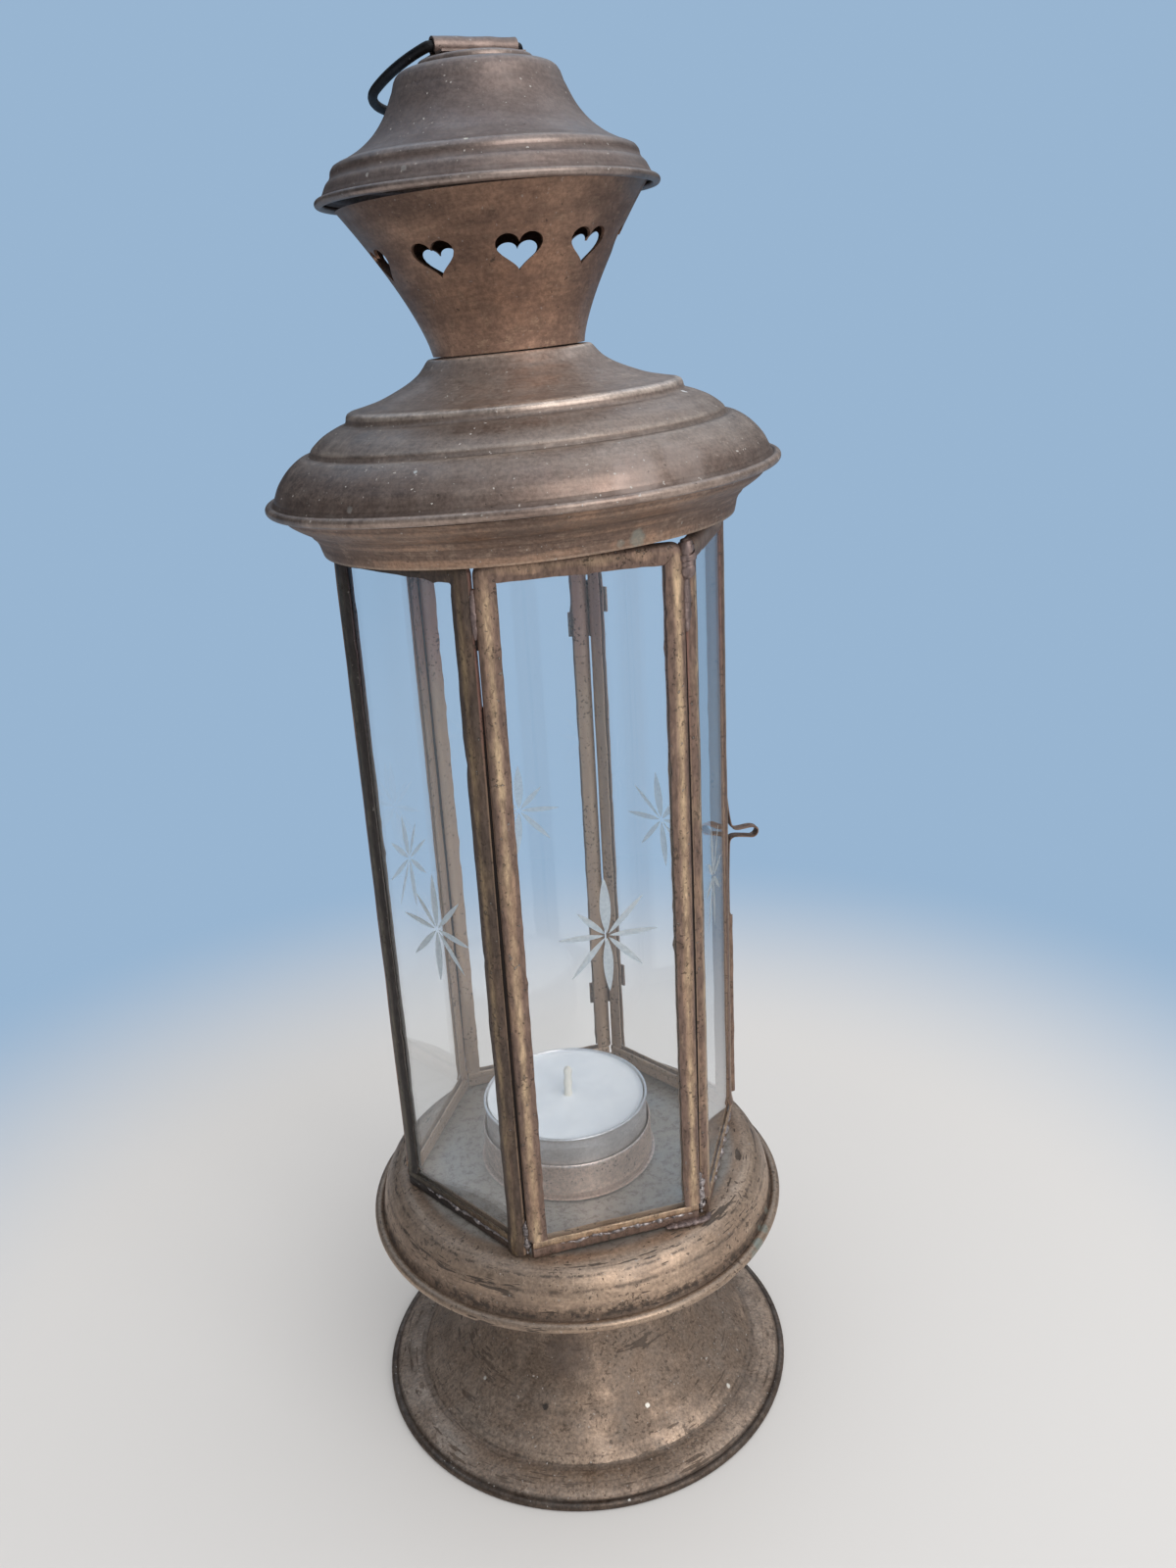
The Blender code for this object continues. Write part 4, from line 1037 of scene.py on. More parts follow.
def make_pane_glass():
    """Old window glass: a little green, faintly wavy, with dust and wipe marks."""
    material, tree, shader, where = new_material("pane_glass")
    upright = stretched(tree, where, (1.0, 1.0, 0.35))
    smear = noise(tree, upright, 90.0, 5.0, 0.6, 0.6)
    grains = between(tree, noise(tree, where, 1300.0, 1.0, 0.5), 0.74, 0.8)
    marks = maths(tree, "MAXIMUM", product(tree, between(tree, smear, 0.55, 0.85), 0.25), grains)
    tint = blend_colour(tree, marks, colour(0.975, 0.982, 0.985), colour(0.88, 0.895, 0.905))
    wave = noise(tree, upright, 22.0, 1.0, 0.4)
    dress(tree, shader, tint, product(tree, marks, 0.10), wave, 0.12, 0.0006)
    shader.inputs["Metallic"].default_value = 0.0
    shader.inputs["Transmission Weight"].default_value = 1.0
    shader.inputs["IOR"].default_value = 1.5
    let_lamps_through(tree, shader, colour(0.95, 0.96, 0.96))
    return material


def make_cut_glass():
    """Frosted cuts in the glass: ground facets, grey-white and half see-through."""
    material, tree, shader, where = new_material("cut_glass")
    ground = noise(tree, where, 1500.0, 3.0, 0.6)
    share = between(tree, ground, 0.3, 0.7)
    tint = blend_colour(tree, share, colour(0.64, 0.68, 0.70), colour(0.84, 0.87, 0.88))
    dress(tree, shader, tint, times_plus(tree, ground, 0.3, 0.35), ground, 0.4, 0.00005)
    shader.inputs["Metallic"].default_value = 0.0
    shader.inputs["Transmission Weight"].default_value = 0.88
    shader.inputs["IOR"].default_value = 1.45
    let_lamps_through(tree, shader, colour(0.8, 0.84, 0.84))
    return material


white_wax = make_wax()
wick_cotton = make_cotton()
pane_glass = make_pane_glass()
cut_glass = make_cut_glass()

# Foot and dish


def foot_line():
    """Flange, waist, trumpet, ring and apron, as (radius, height).

    Down the trumpet the radius grows with the share to the power 1.9, and the height falls with the
    share to the power 0.72.
    """
    bead_radius = 0.0010
    bead = (0.0515 - bead_radius, 0.0008)
    top = FLOOR_HEIGHT - SHEET - CLEAR
    share = np.linspace(0.0, 1.0, 46)
    radius = 0.0178 + (0.0420 - 0.0178) * share**1.9
    height = (top - 0.0110) + (0.0042 - (top - 0.0110)) * share**0.72
    apron = [
        (0.04205, 0.00415),
        (0.0424, 0.0039),
        (0.0431, 0.0037),
        (0.0455, 0.0034),
        (0.0478, 0.0028),
        (bead[0] - 0.0010, 0.0021),
        (bead[0] - bead_radius * 0.55, bead[1] + bead_radius * 0.84),
    ]
    line = profile(
        (6, [(0.0110, top), (0.0160, top), (0.0176, top - 0.0002), (0.0181, top - 0.0012)]),
        (6, [(0.0181, top - 0.0013), (0.0179, top - 0.0060), (0.0178, top - 0.0108)]),
        (1, stacked(radius, height)),
        (6, apron),
    )
    return line, (bead, bead_radius)


foot_outer, foot_bead = foot_line()
spun_piece(
    "foot", foot_outer, on_table, "foot_shell", "base_brass", foot_brass,
    bead=foot_bead, flat=True, uneven=0.00016, lift=0.0, seed=3,
)


def dish_line():
    """Flat floor, then a quarter ellipse with a scored line, down to a groove beside the rolled rim."""
    bead_radius = 0.00115
    bead = (0.0504 - bead_radius, 0.0516)
    edge = CORNER_REACH + 0.0004
    groove = (bead[0] - bead_radius * 0.80, bead[1] + bead_radius * 0.62)
    angle = np.radians(np.linspace(2.0, 84.0, 30))
    run = groove[0] - 0.0004 - edge
    fall = FLOOR_HEIGHT - groove[1]
    scored = 0.00012 * np.exp(-(((angle - 0.9) / 0.05) ** 2))
    line = profile(
        (1, stacked(np.linspace(0.0, edge - 0.0003, 24), FLOOR_HEIGHT)),
        (1, stacked(edge + run * np.sin(angle), FLOOR_HEIGHT - fall * (1.0 - np.cos(angle)) - scored)),
        (1, [(groove[0] - 0.0001, groove[1] + 0.0003), groove]),
    )
    return line, (bead, bead_radius)


dish_outer, dish_bead = dish_line()
spun_piece(
    "dish", dish_outer, on_table, "dish_shell", "base_brass", dish_brass,
    bead=dish_bead, closed_top=True, uneven=0.00012, seed=7,
)

# Candle socket and tealight

on_socket = place(np.eye(3), (*CUP_OFFSET, PANEL_BOTTOM))
SOCKET_INNER = 0.0195
SOCKET_OUTER = SOCKET_INNER + 0.0005
socket_lip = [
    (SOCKET_INNER + 0.0001, 0.0088),
    (SOCKET_INNER + 0.00025, 0.0090),
    (SOCKET_INNER + 0.0004, 0.0088),
]
socket_line = profile(
    (12, [(0.0, 0.0005), (SOCKET_INNER - 0.0008, 0.0005)]),
    (6, [(SOCKET_INNER - 0.0003, 0.0006), *((SOCKET_INNER, rise) for rise in (0.0010, 0.0048, 0.0085))]),
    (4, socket_lip),
    (8, [(SOCKET_OUTER, rise) for rise in (0.0085, 0.0045, 0.0008)]),
    (8, [(SOCKET_INNER + 0.0003, 0.0002), (SOCKET_INNER - 0.0002, 0.0), (0.0, 0.0)]),
)


def turned_solid(name, line, spot, node, slot, material, body, seed, uneven=0.00004):
    """A closed profile carried round +Z: (radius, height) goes to (radius cos, radius sin, height)."""
    steps = 128
    angle = np.arange(steps) * 2.0 * math.pi / steps
    share = line[:, :1] / line[:, 0].max()
    radius = line[:, :1] + share * ring_ripple(angle, seed, uneven)
    height = line[:, 1:] + share * ring_ripple(angle, seed + 9, uneven * 0.6)
    points = stacked(radius * np.cos(angle), radius * np.sin(angle), height).reshape(-1, 3)
    faces = grid_faces(len(line), steps, round_columns=True)
    crest = np.repeat(bend_of(line), steps)
    return finish_piece(name, spot(points), faces, node, body, slot, material, crest=crest)


turned_solid(
    "socket", socket_line, on_socket, "candle_socket", "dark_brass", socket_brass, "lantern", 21
)

TEALIGHT_BASE = PANEL_BOTTOM + 0.0005 + CLEAR
on_tealight = place(np.eye(3), (*CUP_OFFSET, TEALIGHT_BASE))
TEALIGHT_RADIUS = 0.0191
CUP_WALL_IN = TEALIGHT_RADIUS - 0.0003
CUP_WALL_OUT = TEALIGHT_RADIUS - 0.00005
cup_line = profile(
    (1, [(0.0, 0.0003), (TEALIGHT_RADIUS - 0.0012, 0.0003)]),
    (6, [(TEALIGHT_RADIUS - 0.0006, 0.0004), (CUP_WALL_IN, 0.0012), (CUP_WALL_IN, 0.0142)]),
    (
        5,
        [
            (TEALIGHT_RADIUS - 0.00035, 0.0146),
            (TEALIGHT_RADIUS - 0.0001, 0.0150),
            (TEALIGHT_RADIUS + 0.0002, 0.0149),
            (TEALIGHT_RADIUS + 0.00025, 0.0146),
            (TEALIGHT_RADIUS + 0.00005, 0.0144),
        ],
    ),
    (8, [(CUP_WALL_OUT, 0.0141), (CUP_WALL_OUT, 0.0080), (TEALIGHT_RADIUS - 0.0001, 0.0010)]),
    (6, [(TEALIGHT_RADIUS - 0.0003, 0.0003), (TEALIGHT_RADIUS - 0.0009, 0.0), (0.0, 0.0)]),
)
turned_solid("cup", cup_line, on_tealight, "tealight_cup", "aluminium", foil, "tealight", 31, 0.00003)
WAX_RADIUS = TEALIGHT_RADIUS - 0.0006
wax_top = [
    (0.0, 0.01430),
    (0.0012, 0.0142),
    (0.0030, 0.01385),
    (0.0080, 0.0137),
    (0.0140, 0.0138),
    (WAX_RADIUS - 0.0010, 0.0140),
]
wax_side = [
    (WAX_RADIUS - 0.0005, 0.01415),
    (WAX_RADIUS - 0.0001, 0.0144),
    (WAX_RADIUS, 0.0143),
    (WAX_RADIUS, 0.0080),
    (WAX_RADIUS, 0.0012),
]
wax_line = profile((8, wax_top), (5, wax_side), (1, [(0.0, 0.0012)]))
turned_solid("wax", wax_line, on_tealight, "tealight_wax", "wax", white_wax, "tealight", 33, 0.00003)


def make_wick():
    """A waxed wick: a round rod on a line that bends a little, with turns of braid in its radius."""
    share = np.linspace(0.0, 1.0, 40)
    path = stacked(0.0005 * share**2, -0.0003 * share**2, 0.0010 + share * 0.0212)
    ends = np.clip(np.minimum(share, 1.0 - share) * 30.0, 0.02, 1.0) ** 0.5
    points, faces = swept_rod(path, 0.00095 * ends * (1.0 + 0.08 * np.sin(share * 42.0)))
    faces = capped(faces, ROD_SIDES, len(points))
    points = on_tealight(points)
    return finish_piece("wick", points, faces, "tealight_wick", "tealight", "wick", wick_cotton)


make_wick()

# Panels


def came_grid(half, bottom_left, bottom_right, top, seed):
    """The folded came as two grids of points, outer and inner, with its marks.

    Rows are places along the arch, and columns are places across the section.
    The section is a U whose front and back swell like a tube and whose open edges are uneven. It is
    carried up one stile, round a folded corner, across the top and down the other stile. A point at
    a distance in from the outer edge follows the arch offset by that distance, with a mitred corner.
    """
    fold, wall, steps = CAME_FOLD, 0.00040, 84
    leg = np.linspace(1.0, 0.0, 12)
    front = CAME_ROUND + (CAME_WIDTH - CAME_ROUND) * leg
    angle = np.radians(np.linspace(90.0, 270.0, 13))[1:-1]
    round_off = CAME_HALF_DEPTH * np.sin(angle)
    swell = CAME_HALF_DEPTH + 0.00008 * np.sin(math.pi * leg) - 0.00022 * leg**3
    inward = np.concatenate([front, CAME_ROUND + CAME_ROUND * np.cos(angle), front[::-1]])
    depth = np.concatenate([-swell, -round_off, swell[::-1]])
    inner_in = np.concatenate([front, CAME_ROUND + (CAME_ROUND - wall) * np.cos(angle), front[::-1]])
    inner_round = round_off * (1.0 - wall / CAME_HALF_DEPTH)
    inner_depth = np.concatenate([wall - swell, -inner_round, (swell - wall)[::-1]])
    rise_left = np.linspace(bottom_left, top - fold, steps)[:, None]
    rise_right = np.linspace(top - fold, bottom_right, steps)[:, None]
    across = np.linspace(fold - half, half - fold, 30)[:, None]
    left_turn = np.radians(np.linspace(180.0, 90.0, 8))[1:-1, None]
    right_turn = np.radians(np.linspace(90.0, 0.0, 8))[1:-1, None]

    def arch(a):
        """The arch's (across, up) at each distance in from its outer edge, at every place along it."""
        reach = np.maximum(fold - a, 0.0)
        beyond = np.maximum(a - fold, 0.0)
        left_x = fold - half + reach * np.cos(left_turn) + beyond
        left_z = top - fold + reach * np.sin(left_turn) - beyond
        right_x = half - fold + reach * np.cos(right_turn) - beyond
        right_z = top - fold + reach * np.sin(right_turn) - beyond
        parts = [
            (a - half, np.minimum(rise_left, top - fold - beyond)),
            (left_x, left_z),
            (np.clip(across, fold - half + beyond, half - fold - beyond), top - a),
            (right_x, right_z),
            (half - a, np.minimum(rise_right, top - fold - beyond)),
        ]
        return np.concatenate([stacked(*part) for part in parts])

    edge = arch(np.zeros(1))[:, 0]
    along = length_along(edge)
    make = np.random.default_rng(seed)
    teeth = np.zeros((len(along), 2))
    for side in range(2):
        teeth[:, side] = 0.00012 * ripple(along, seed + 3 + side, 9, 0.02)
        spots = make.uniform(0.0, along[-1], 26)
        sizes = make.uniform(-0.00035, 0.00035, 26)
        widths = make.uniform(0.0003, 0.0011, 26)
        teeth[:, side] += (sizes * np.exp(-(((along[:, None] - spots) / widths) ** 2))).sum(1)
    open_edge = np.clip((inward - 0.0026) / 0.0014, 0.0, 1.0) ** 2
    side_of = (np.arange(len(inward)) >= len(inward) // 2).astype(int)
    push = (teeth[:, side_of] * open_edge)[..., None]
    dent = 0.00007 * ripple(along, seed + 11, 8, 0.05)[:, None]
    swelling = 1.0 + 0.02 * ripple(along, seed + 17, 7, 0.03)[:, None]
    little = 0.0005
    sheets = []
    for a, d in ((inward, depth), (inner_in, inner_depth)):
        flat = arch(a)
        x, z = np.moveaxis(flat + (arch(a + little) - flat) / little * push, -1, 0)
        sheets.append(stacked(x, d * swelling + dent * np.sign(d), z))
    # Painted highlight and shade: a golden stripe down the middle of the came's front, fainter over the
    # top, darker towards its open edges, uneven along the came.
    painted_highlight = np.exp(-(((inward - 0.0018) / 0.00072) ** 2))
    painted_side_shade = 0.45 * np.clip((inward - 0.0028) / 0.0005, 0.0, 1.0)
    over_top = np.clip((edge[:, 1:] - (top - fold - 0.004)) / 0.004, 0.0, 1.0)
    worn_and_sheen = 0.36 * ripple(along, seed + 23, 11, 0.03)[:, None]
    crest = painted_highlight * (0.92 - 0.60 * over_top) - 0.10 - painted_side_shade + worn_and_sheen
    behind = np.tile(side_of.astype(float), (len(along), 1))
    return sheets, crest, behind


def make_came(name, index, half, bottom_left, bottom_right, top, body, skin, seed):
    """A came on its panel. Where a stile runs down over its rail, it swells smoothly to clear it."""
    sheets, crest, behind = came_grid(half, bottom_left, bottom_right, top, seed)
    step = 0.0012
    for sheet in sheets:
        low = np.clip((PANEL_BOTTOM + RAIL_HEIGHT + step - sheet[..., 2]) / step, 0.0, 1.0)
        sheet[..., 1] += 0.00042 * low * low * (3.0 - 2.0 * low) * np.sign(sheet[..., 1])
    # The inside mark gives the hidden side its painted light colour.
    marks = {
        "crest": np.stack([crest, np.full_like(crest, -0.5)]),
        "inside": np.stack([behind, np.ones_like(behind)]),
    }
    piece_name, node = name + "_came_fold", name + "_came"
    return finish_plate(piece_name, sheets, on_panel(index), node, body, "frame_brass", skin, **marks)


def make_rail(name, index, bottom, body, skin, seed):
    """A bottom rail: a channel with a rolled upper lip, a hollow line and a rounded foot.

    The section is a closed line of (depth, height). It is carried along the panel, and each point moves
    by an uneven line along the way.
    """
    face = curve_through(
        [
            (-0.00112, 0.00415),
            (-0.00135, 0.00420),
            (-0.00152, 0.00395),
            (-0.00156, 0.00340),
            (-0.00150, 0.00285),
            (-0.00134, 0.00255),
            (-0.00137, 0.00220),
            (-0.00145, 0.00160),
            (-0.00145, 0.00070),
            (-0.00128, 0.00015),
            (-0.00085, 0.0),
        ],
        3,
    )
    back = face[::-1] * (-1.0, 1.0)
    section = np.concatenate([face, back, [(0.00108, 0.0022), (-0.00108, 0.0022)]])
    depth, height = section.T
    count = len(section)
    along = np.linspace(-RAIL_HALF, RAIL_HALF, 64)
    lines = [ripple(along + 0.003 * k, seed + k % 5, 7, 0.012) for k in range(count)]
    jitter = 0.00006 * np.stack(lines, axis=1)
    out = depth + jitter * np.sign(depth)
    up = bottom + height + 0.5 * jitter * (height > 0.003)
    points = stacked(along[:, None], out, up).reshape(-1, 3)
    faces = capped(grid_faces(len(along), count, round_columns=True), count, len(points))
    # The inside mark gives the rail's hidden side its painted light colour.
    marks = {
        "crest": np.tile(np.where(height > 0.0026, 0.55, -0.5), (len(along), 1)),
        "inside": np.tile(depth > 0.0, (len(along), 1)),
    }
    spot, node = on_panel(index), name + "_bottom_rail"
    return finish_piece(
        name + "_rail", spot(points), faces, node, body, "frame_brass", skin, 50.0, **marks
    )


def make_star(name, index, centre, turns, body, seed):
    """A cut star: eight petals, each a narrow leaf with a ridge along its middle.

    A petal's point at (along, across) lies at along times its length outwards and across times its
    half width sideways. The half width follows a sine along the petal. The point stands off the glass
    by the ridge height times (1 - |across|).
    """
    lengths = [0.0124, 0.0112, 0.0106, 0.0110, 0.0128, 0.0120, 0.0104, 0.0086]
    widths = [0.00120, 0.00066, 0.00070, 0.00066, 0.00120, 0.00070, 0.00070, 0.00070]
    make = np.random.default_rng(seed)
    t, s = np.meshgrid(np.linspace(0.0, 1.0, 15), np.linspace(-1.0, 1.0, 5), indexing="ij")
    ridge = GLASS_HALF_DEPTH + 0.00002 + 0.00009 * (1.0 - np.abs(s)) * (np.sin(math.pi * t) + 0.1)
    start = 0.0006
    parts, faces = [], []
    for k, (length, width) in enumerate(zip(lengths, widths)):
        angle = math.radians(90.0 - 45.0 * k + turns + make.uniform(-4.0, 4.0))
        length *= make.uniform(0.93, 1.05)
        width *= make.uniform(0.9, 1.15)
        reach = start + t * (length - start)
        side = s * width * (np.sin(math.pi * t) ** 0.8 * (1.0 - 0.25 * t) + 0.03)
        x = centre[0] + reach * math.cos(angle) - side * math.sin(angle)
        z = centre[1] + reach * math.sin(angle) + side * math.cos(angle)
        parts += [stacked(x, depth, z).reshape(-1, 3) for depth in (-ridge, 0.00004 - GLASS_HALF_DEPTH)]
        faces.append(plate_faces(*t.shape) + 2 * k * t.size)
    points, faces = on_panel(index)(np.concatenate(parts)), np.concatenate(faces)
    return finish_piece(name + "_star", points, faces, None, body, "clear_glass", cut_glass, 12.0)


def reskin(node_name, material):
    """Give one of the model's own pieces, which keeps its shape, a material."""
    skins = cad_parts[node_name].data.materials
    skins.clear()
    skins.append(material)


STARS = {
    "front": ((0.0012, 0.1377), 0.0),
    "right": ((0.0000, 0.1380), 5.0),
    "door": ((-0.0008, 0.1385), -4.0),
    "back": ((0.0006, 0.1390), 3.0),
    "back_left": ((0.0000, 0.1385), -6.0),
    "left": ((0.0011, 0.1370), -3.0),
}
for index, name in enumerate(PANELS):
    is_door = name == "door"
    body = "door" if is_door else "lantern"
    bottom = PANEL_BOTTOM + (DOOR_FOOT_GAP if is_door else 0.0)
    top = FRAME_TOP - (DOOR_TOP_GAP if is_door else 0.0)
    foot_of_came = bottom + RAIL_HEIGHT + CLEAR
    right_foot = foot_of_came if name != "left" else bottom + CLEAR
    half = PANEL_HALF + (0.0 if is_door else CAME_OVERLAP)
    # The left panel takes the darker copy of the brass, as painted shade.
    skin = shaded_left_brass if name == "left" else frame_brass
    make_came(name, index, half, foot_of_came, right_foot, top, body, skin, 100 + 20 * index)
    make_rail(name, index, bottom, body, skin, 300 + 20 * index)
    centre, turns = STARS[name]
    make_star(name, index, centre, turns, body, 500 + index)
    reskin(name + "_glass", pane_glass)

# Solder


def make_solder(name, path, size, seed, lumps, fill=solder, flat=1.0):
    """A run of solder: a rod along a line, whose radius is uneven and closes at both ends."""
    sides = 12
    line = curve_through(path, 16)
    along = length_along(line)
    round_end = np.sqrt(np.clip(np.sin(math.pi * along / along[-1]), 0.0, 1.0)) ** 0.7
    radius = size * (0.85 + lumps * ripple(along, seed, 9, 0.005)) * round_end + 0.00001
    stray = np.stack([ripple(along, seed + k, 7, 0.004) for k in range(3)], axis=1)
    line = line + 0.4 * lumps * size * stray
    points, faces = swept_rod(line, radius, sides)
    middle = np.repeat(line[:, 2], sides)
    points[:, 2] = middle + flat * (points[:, 2] - middle)
    faces = capped(faces, sides, len(points))
    return finish_piece(name, points, faces, None, "lantern", "frame_brass", fill, 60.0)


for index, name in enumerate(PANELS):
    if name == "door":
        continue
    stout = 1.5 if name == "right" else 1.0
    across = np.linspace(-0.0130, 0.0180, 9)
    run = stacked(across, -0.00126, PANEL_BOTTOM + 0.0023 + 0.0003 * np.sin(across * 900.0))
    make_solder(name + "_solder", on_panel(index)(run), 0.00044 * stout, 700 + index, 0.75)


def corner_place(index, radius, height, side=0.0):
    """A place at the corner after a panel, at a radius from the axis."""
    angle = (index + 0.5) * SECTOR
    x = radius * math.sin(angle) + side * math.cos(angle)
    y = side * math.sin(angle) - radius * math.cos(angle)
    return [x, y, height]


def corner_run(name, index, radius, low, high, count, *how):
    """A run of solder up the corner after a panel, from the low height to the high one."""
    path = [corner_place(index, radius, height) for height in np.linspace(low, high, count)]
    make_solder(name, path, *how)


for label, index, low, high, radius, size, fill in (
    ("front_right_top", 0, 0.2080, 0.2158, 0.04085, 0.00215, old_solder),
    ("front_right_run", 0, 0.1980, 0.2100, 0.04050, 0.00120, old_solder),
    ("front_right_foot", 0, 0.0632, 0.0745, 0.04045, 0.00100, solder),
    ("front_left_foot", 5, 0.0632, 0.0720, 0.04040, 0.00075, solder),
    ("front_left_top", 5, 0.2010, 0.2105, 0.04020, 0.00095, old_solder),
    ("back_left_foot", 3, 0.0632, 0.0730, 0.0398, 0.00070, solder),
    ("left_foot", 4, 0.0632, 0.0720, 0.0402, 0.00070, solder),
):
    lumps = 0.45 if fill is solder else 0.15
    seed = 740 + index + int(high * 1000)
    corner_run("solder_" + label, index, radius, low, high, 6, size, seed, lumps, fill)

pool = on_panel(0)(stacked(np.linspace(0.0110, 0.0205, 5), -0.0020, 0.0631))
pool = [*pool, corner_place(0, 0.0418, 0.0632, 0.0015)]
make_solder("solder_pool", pool, 0.00125, 771, 0.18, old_solder, 0.5)

# Near-black joints in the gaps between paired stiles, painting the shade of those gaps; one is broken
# where the gap shows through.
for label, index, low, high in (
    ("front_right", 0, 0.0640, 0.2120),
    ("front_left_low", 5, 0.0640, 0.1885),
    ("front_left_high", 5, 0.1990, 0.2105),
    ("left", 4, 0.0640, 0.2120),
    ("back_left", 3, 0.0700, 0.2120),
):
    seed = 800 + index + int(high * 1000)
    corner_run("seam_" + label, index, 0.0397, low, high, 9, 0.00100, seed, 0.04, seam_shade_brass)

# Latch and its sleeves on the door's free stile

FREE_FACE = CORNER_REACH + CLEAR
STRIP_MIDDLE = 0.0016
STRIP_HALF = 0.00115
STRIP_WALL = 0.00046


def strip_plate(name, node, body, centre, seed, waist=None):
    """A thin strip: a line of (distance out, height), thickened, and widened along the stile's face."""
    line = curve_through(centre, 7)
    across = np.linspace(-1.0, 1.0, 9)
    half = STRIP_HALF * (1.0 + 0.03 * ripple(length_along(line), seed, 7, 0.01))
    if waist is not None:
        narrow = np.exp(-(((line[:, 1] - waist) / 0.004) ** 2)) * (line[:, 0] < 0.003)
        half = half * (1.0 - 0.16 * narrow)
    edge = 0.55 + 0.45 * np.clip((1.0 - np.abs(across)) * 8.0, 0.0, 1.0) ** 0.5
    normal = wall_inside(line, -1.0) - line
    sheets = []
    for side in (1.0, -1.0):
        off = line[:, None] + side * normal[:, None] * (STRIP_WALL / 2.0) * edge[:, None]
        y = STRIP_MIDDLE + half[:, None] * across
        sheets.append(stacked(FREE_FACE + off[..., 0], y, off[..., 1]))
    return finish_plate(name, sheets, on_table, node, body, "frame_brass", frame_brass)


ROOT, TIP, TOP = 0.1400, 0.1183, 0.1610
PULL = 0.0014 + 0.0073
strip_centre = [
    (0.00025, TOP),
    (0.00025, ROOT + 0.0170),
    (0.00028, ROOT + 0.0128),
    (0.00055, ROOT + 0.0090),
    (0.00100, ROOT + 0.0050),
    (0.00150, ROOT + 0.0018),
    (0.00210, ROOT + 0.00035),
    (0.00330, ROOT - 0.00030),
    (PULL - 0.0024, ROOT - 0.00015),
    (PULL - 0.0012, ROOT - 0.00035),
    (PULL - 0.00035, ROOT - 0.0010),
    (PULL - 0.00050, ROOT - 0.0021),
    (PULL - 0.0015, ROOT - 0.00275),
    (PULL - 0.0030, ROOT - 0.00250),
    (0.00300, ROOT - 0.00205),
    (0.00190, ROOT - 0.00220),
    (0.00125, ROOT - 0.00300),
    (0.00105, ROOT - 0.0052),
    (0.00100, ROOT - 0.0095),
    (0.00088, ROOT - 0.0135),
    (0.00085, TIP + 0.0030),
    (0.00085, TIP),
]
strip_plate("latch", "latch_strip", "latch", strip_centre, 41, waist=0.1290)
sleeve_centre = stacked(0.00025, np.linspace(TOP + CLEAR, FRAME_TOP - DOOR_TOP_GAP - CAME_FOLD, 9))
strip_plate("sleeve_top", "door_sleeve_upper", "door", sleeve_centre, 43)


def make_lower_sleeve():
    """The lower sleeve: a U of thin sheet open towards the stile, carried up it with uneven edges."""
    half, deep, wall = 0.0012, 0.0018, 0.00045
    plan = [(0.0, -half), (deep - 0.0006, -half)]
    plan += [(deep - 0.00015, 0.00020 - half), (deep, 0.0006 - half)]
    plan += [(deep + 0.00003, 0.0)] + [(x, -y) for x, y in plan[::-1]]
    outer = curve_through(plan, 4)
    inner = wall_inside(outer, -wall)
    inner[:, 0] = np.maximum(inner[:, 0], 0.0)
    low = PANEL_BOTTOM + DOOR_FOOT_GAP + RAIL_HEIGHT + CLEAR
    height = np.linspace(low, TIP - 0.0010, 60)
    bow = 1.0 + 0.05 * ripple(height, 47, 7, 0.02)[:, None]
    sheets = []
    for line in (outer, inner):
        x = FREE_FACE + line[:, 0] * bow
        y = STRIP_MIDDLE + line[:, 1] * (0.99 + 0.01 * bow)
        sheet = stacked(x, y, height[:, None])
        sheet[-1, :, 2] += 0.0004 * ripple(line[:, 1], 48, 5, 0.003)
        sheets.append(sheet)
    return finish_plate(
        "sleeve_low", sheets, on_table, "door_sleeve_lower", "door", "frame_brass", frame_brass
    )


make_lower_sleeve()

# Roof: skirt, dome, pierced neck and cap


def skirt_line():
    """From under the dome's rolled rim in and down to a step, and then to the lower edge."""
    touch = 0.00125 + CLEAR
    start = (DOME_RIM_RADIUS - 0.00125 - touch * 0.674, DOME_RIM_RISE - touch * 0.738)
    upper = [start, (0.0488, 0.0081), (0.0480, 0.0072)]
    upper += [(0.0464, 0.0061), (0.0449, 0.0052), (0.0442, 0.0046)]
    lower = [(0.04385, 0.0041), (0.0432, 0.0034), (0.0427, 0.0024), (0.0424, 0.0012), (0.0421, 0.0001)]
    return profile((6, upper), (6, lower))


spun_piece(
    "skirt", skirt_line(), on_roof, "roof_skirt", "dark_brass", skirt_brass, uneven=0.00016, seed=11
)


def dome_line():
    """A lip, a hollow slope, a crease and two swelling steps down to the rolled rim."""
    slope = [(0.0172, 0.0331), (0.0186, 0.0317), (0.0214, 0.0300)]
    slope += [(0.0264, 0.0279), (0.0302, 0.0269), (0.0326, 0.0264)]
    first = [(0.0340, 0.0243), (0.0360, 0.0236), (0.0387, 0.0223), (0.0409, 0.0206), (0.0416, 0.0196)]
    second = [(0.0419, 0.0192), (0.0437, 0.0188), (0.0463, 0.0170)]
    second += [(0.0485, 0.0145), (0.0496, 0.0124), (0.0500, 0.01135)]
    line = profile(
        (4, [(0.0132, 0.0345), (0.0150, 0.0345), (0.0160, 0.0344), (0.0166, 0.0339)]),
        (8, slope),
        (4, [(0.0332, 0.0261), (0.0335, 0.0256), (0.0337, 0.0247)]),
        (7, first),
        (8, second),
    )
    return line, ((DOME_RIM_RADIUS - DOME_BEAD, DOME_RIM_RISE), DOME_BEAD)


dome_outer, dome_bead = dome_line()
spun_piece(
    "dome", dome_outer, on_roof, "dome_shell", "roof_brass", dome_brass,
    bead=dome_bead, uneven=0.00018, seed=13, steps=200,
)


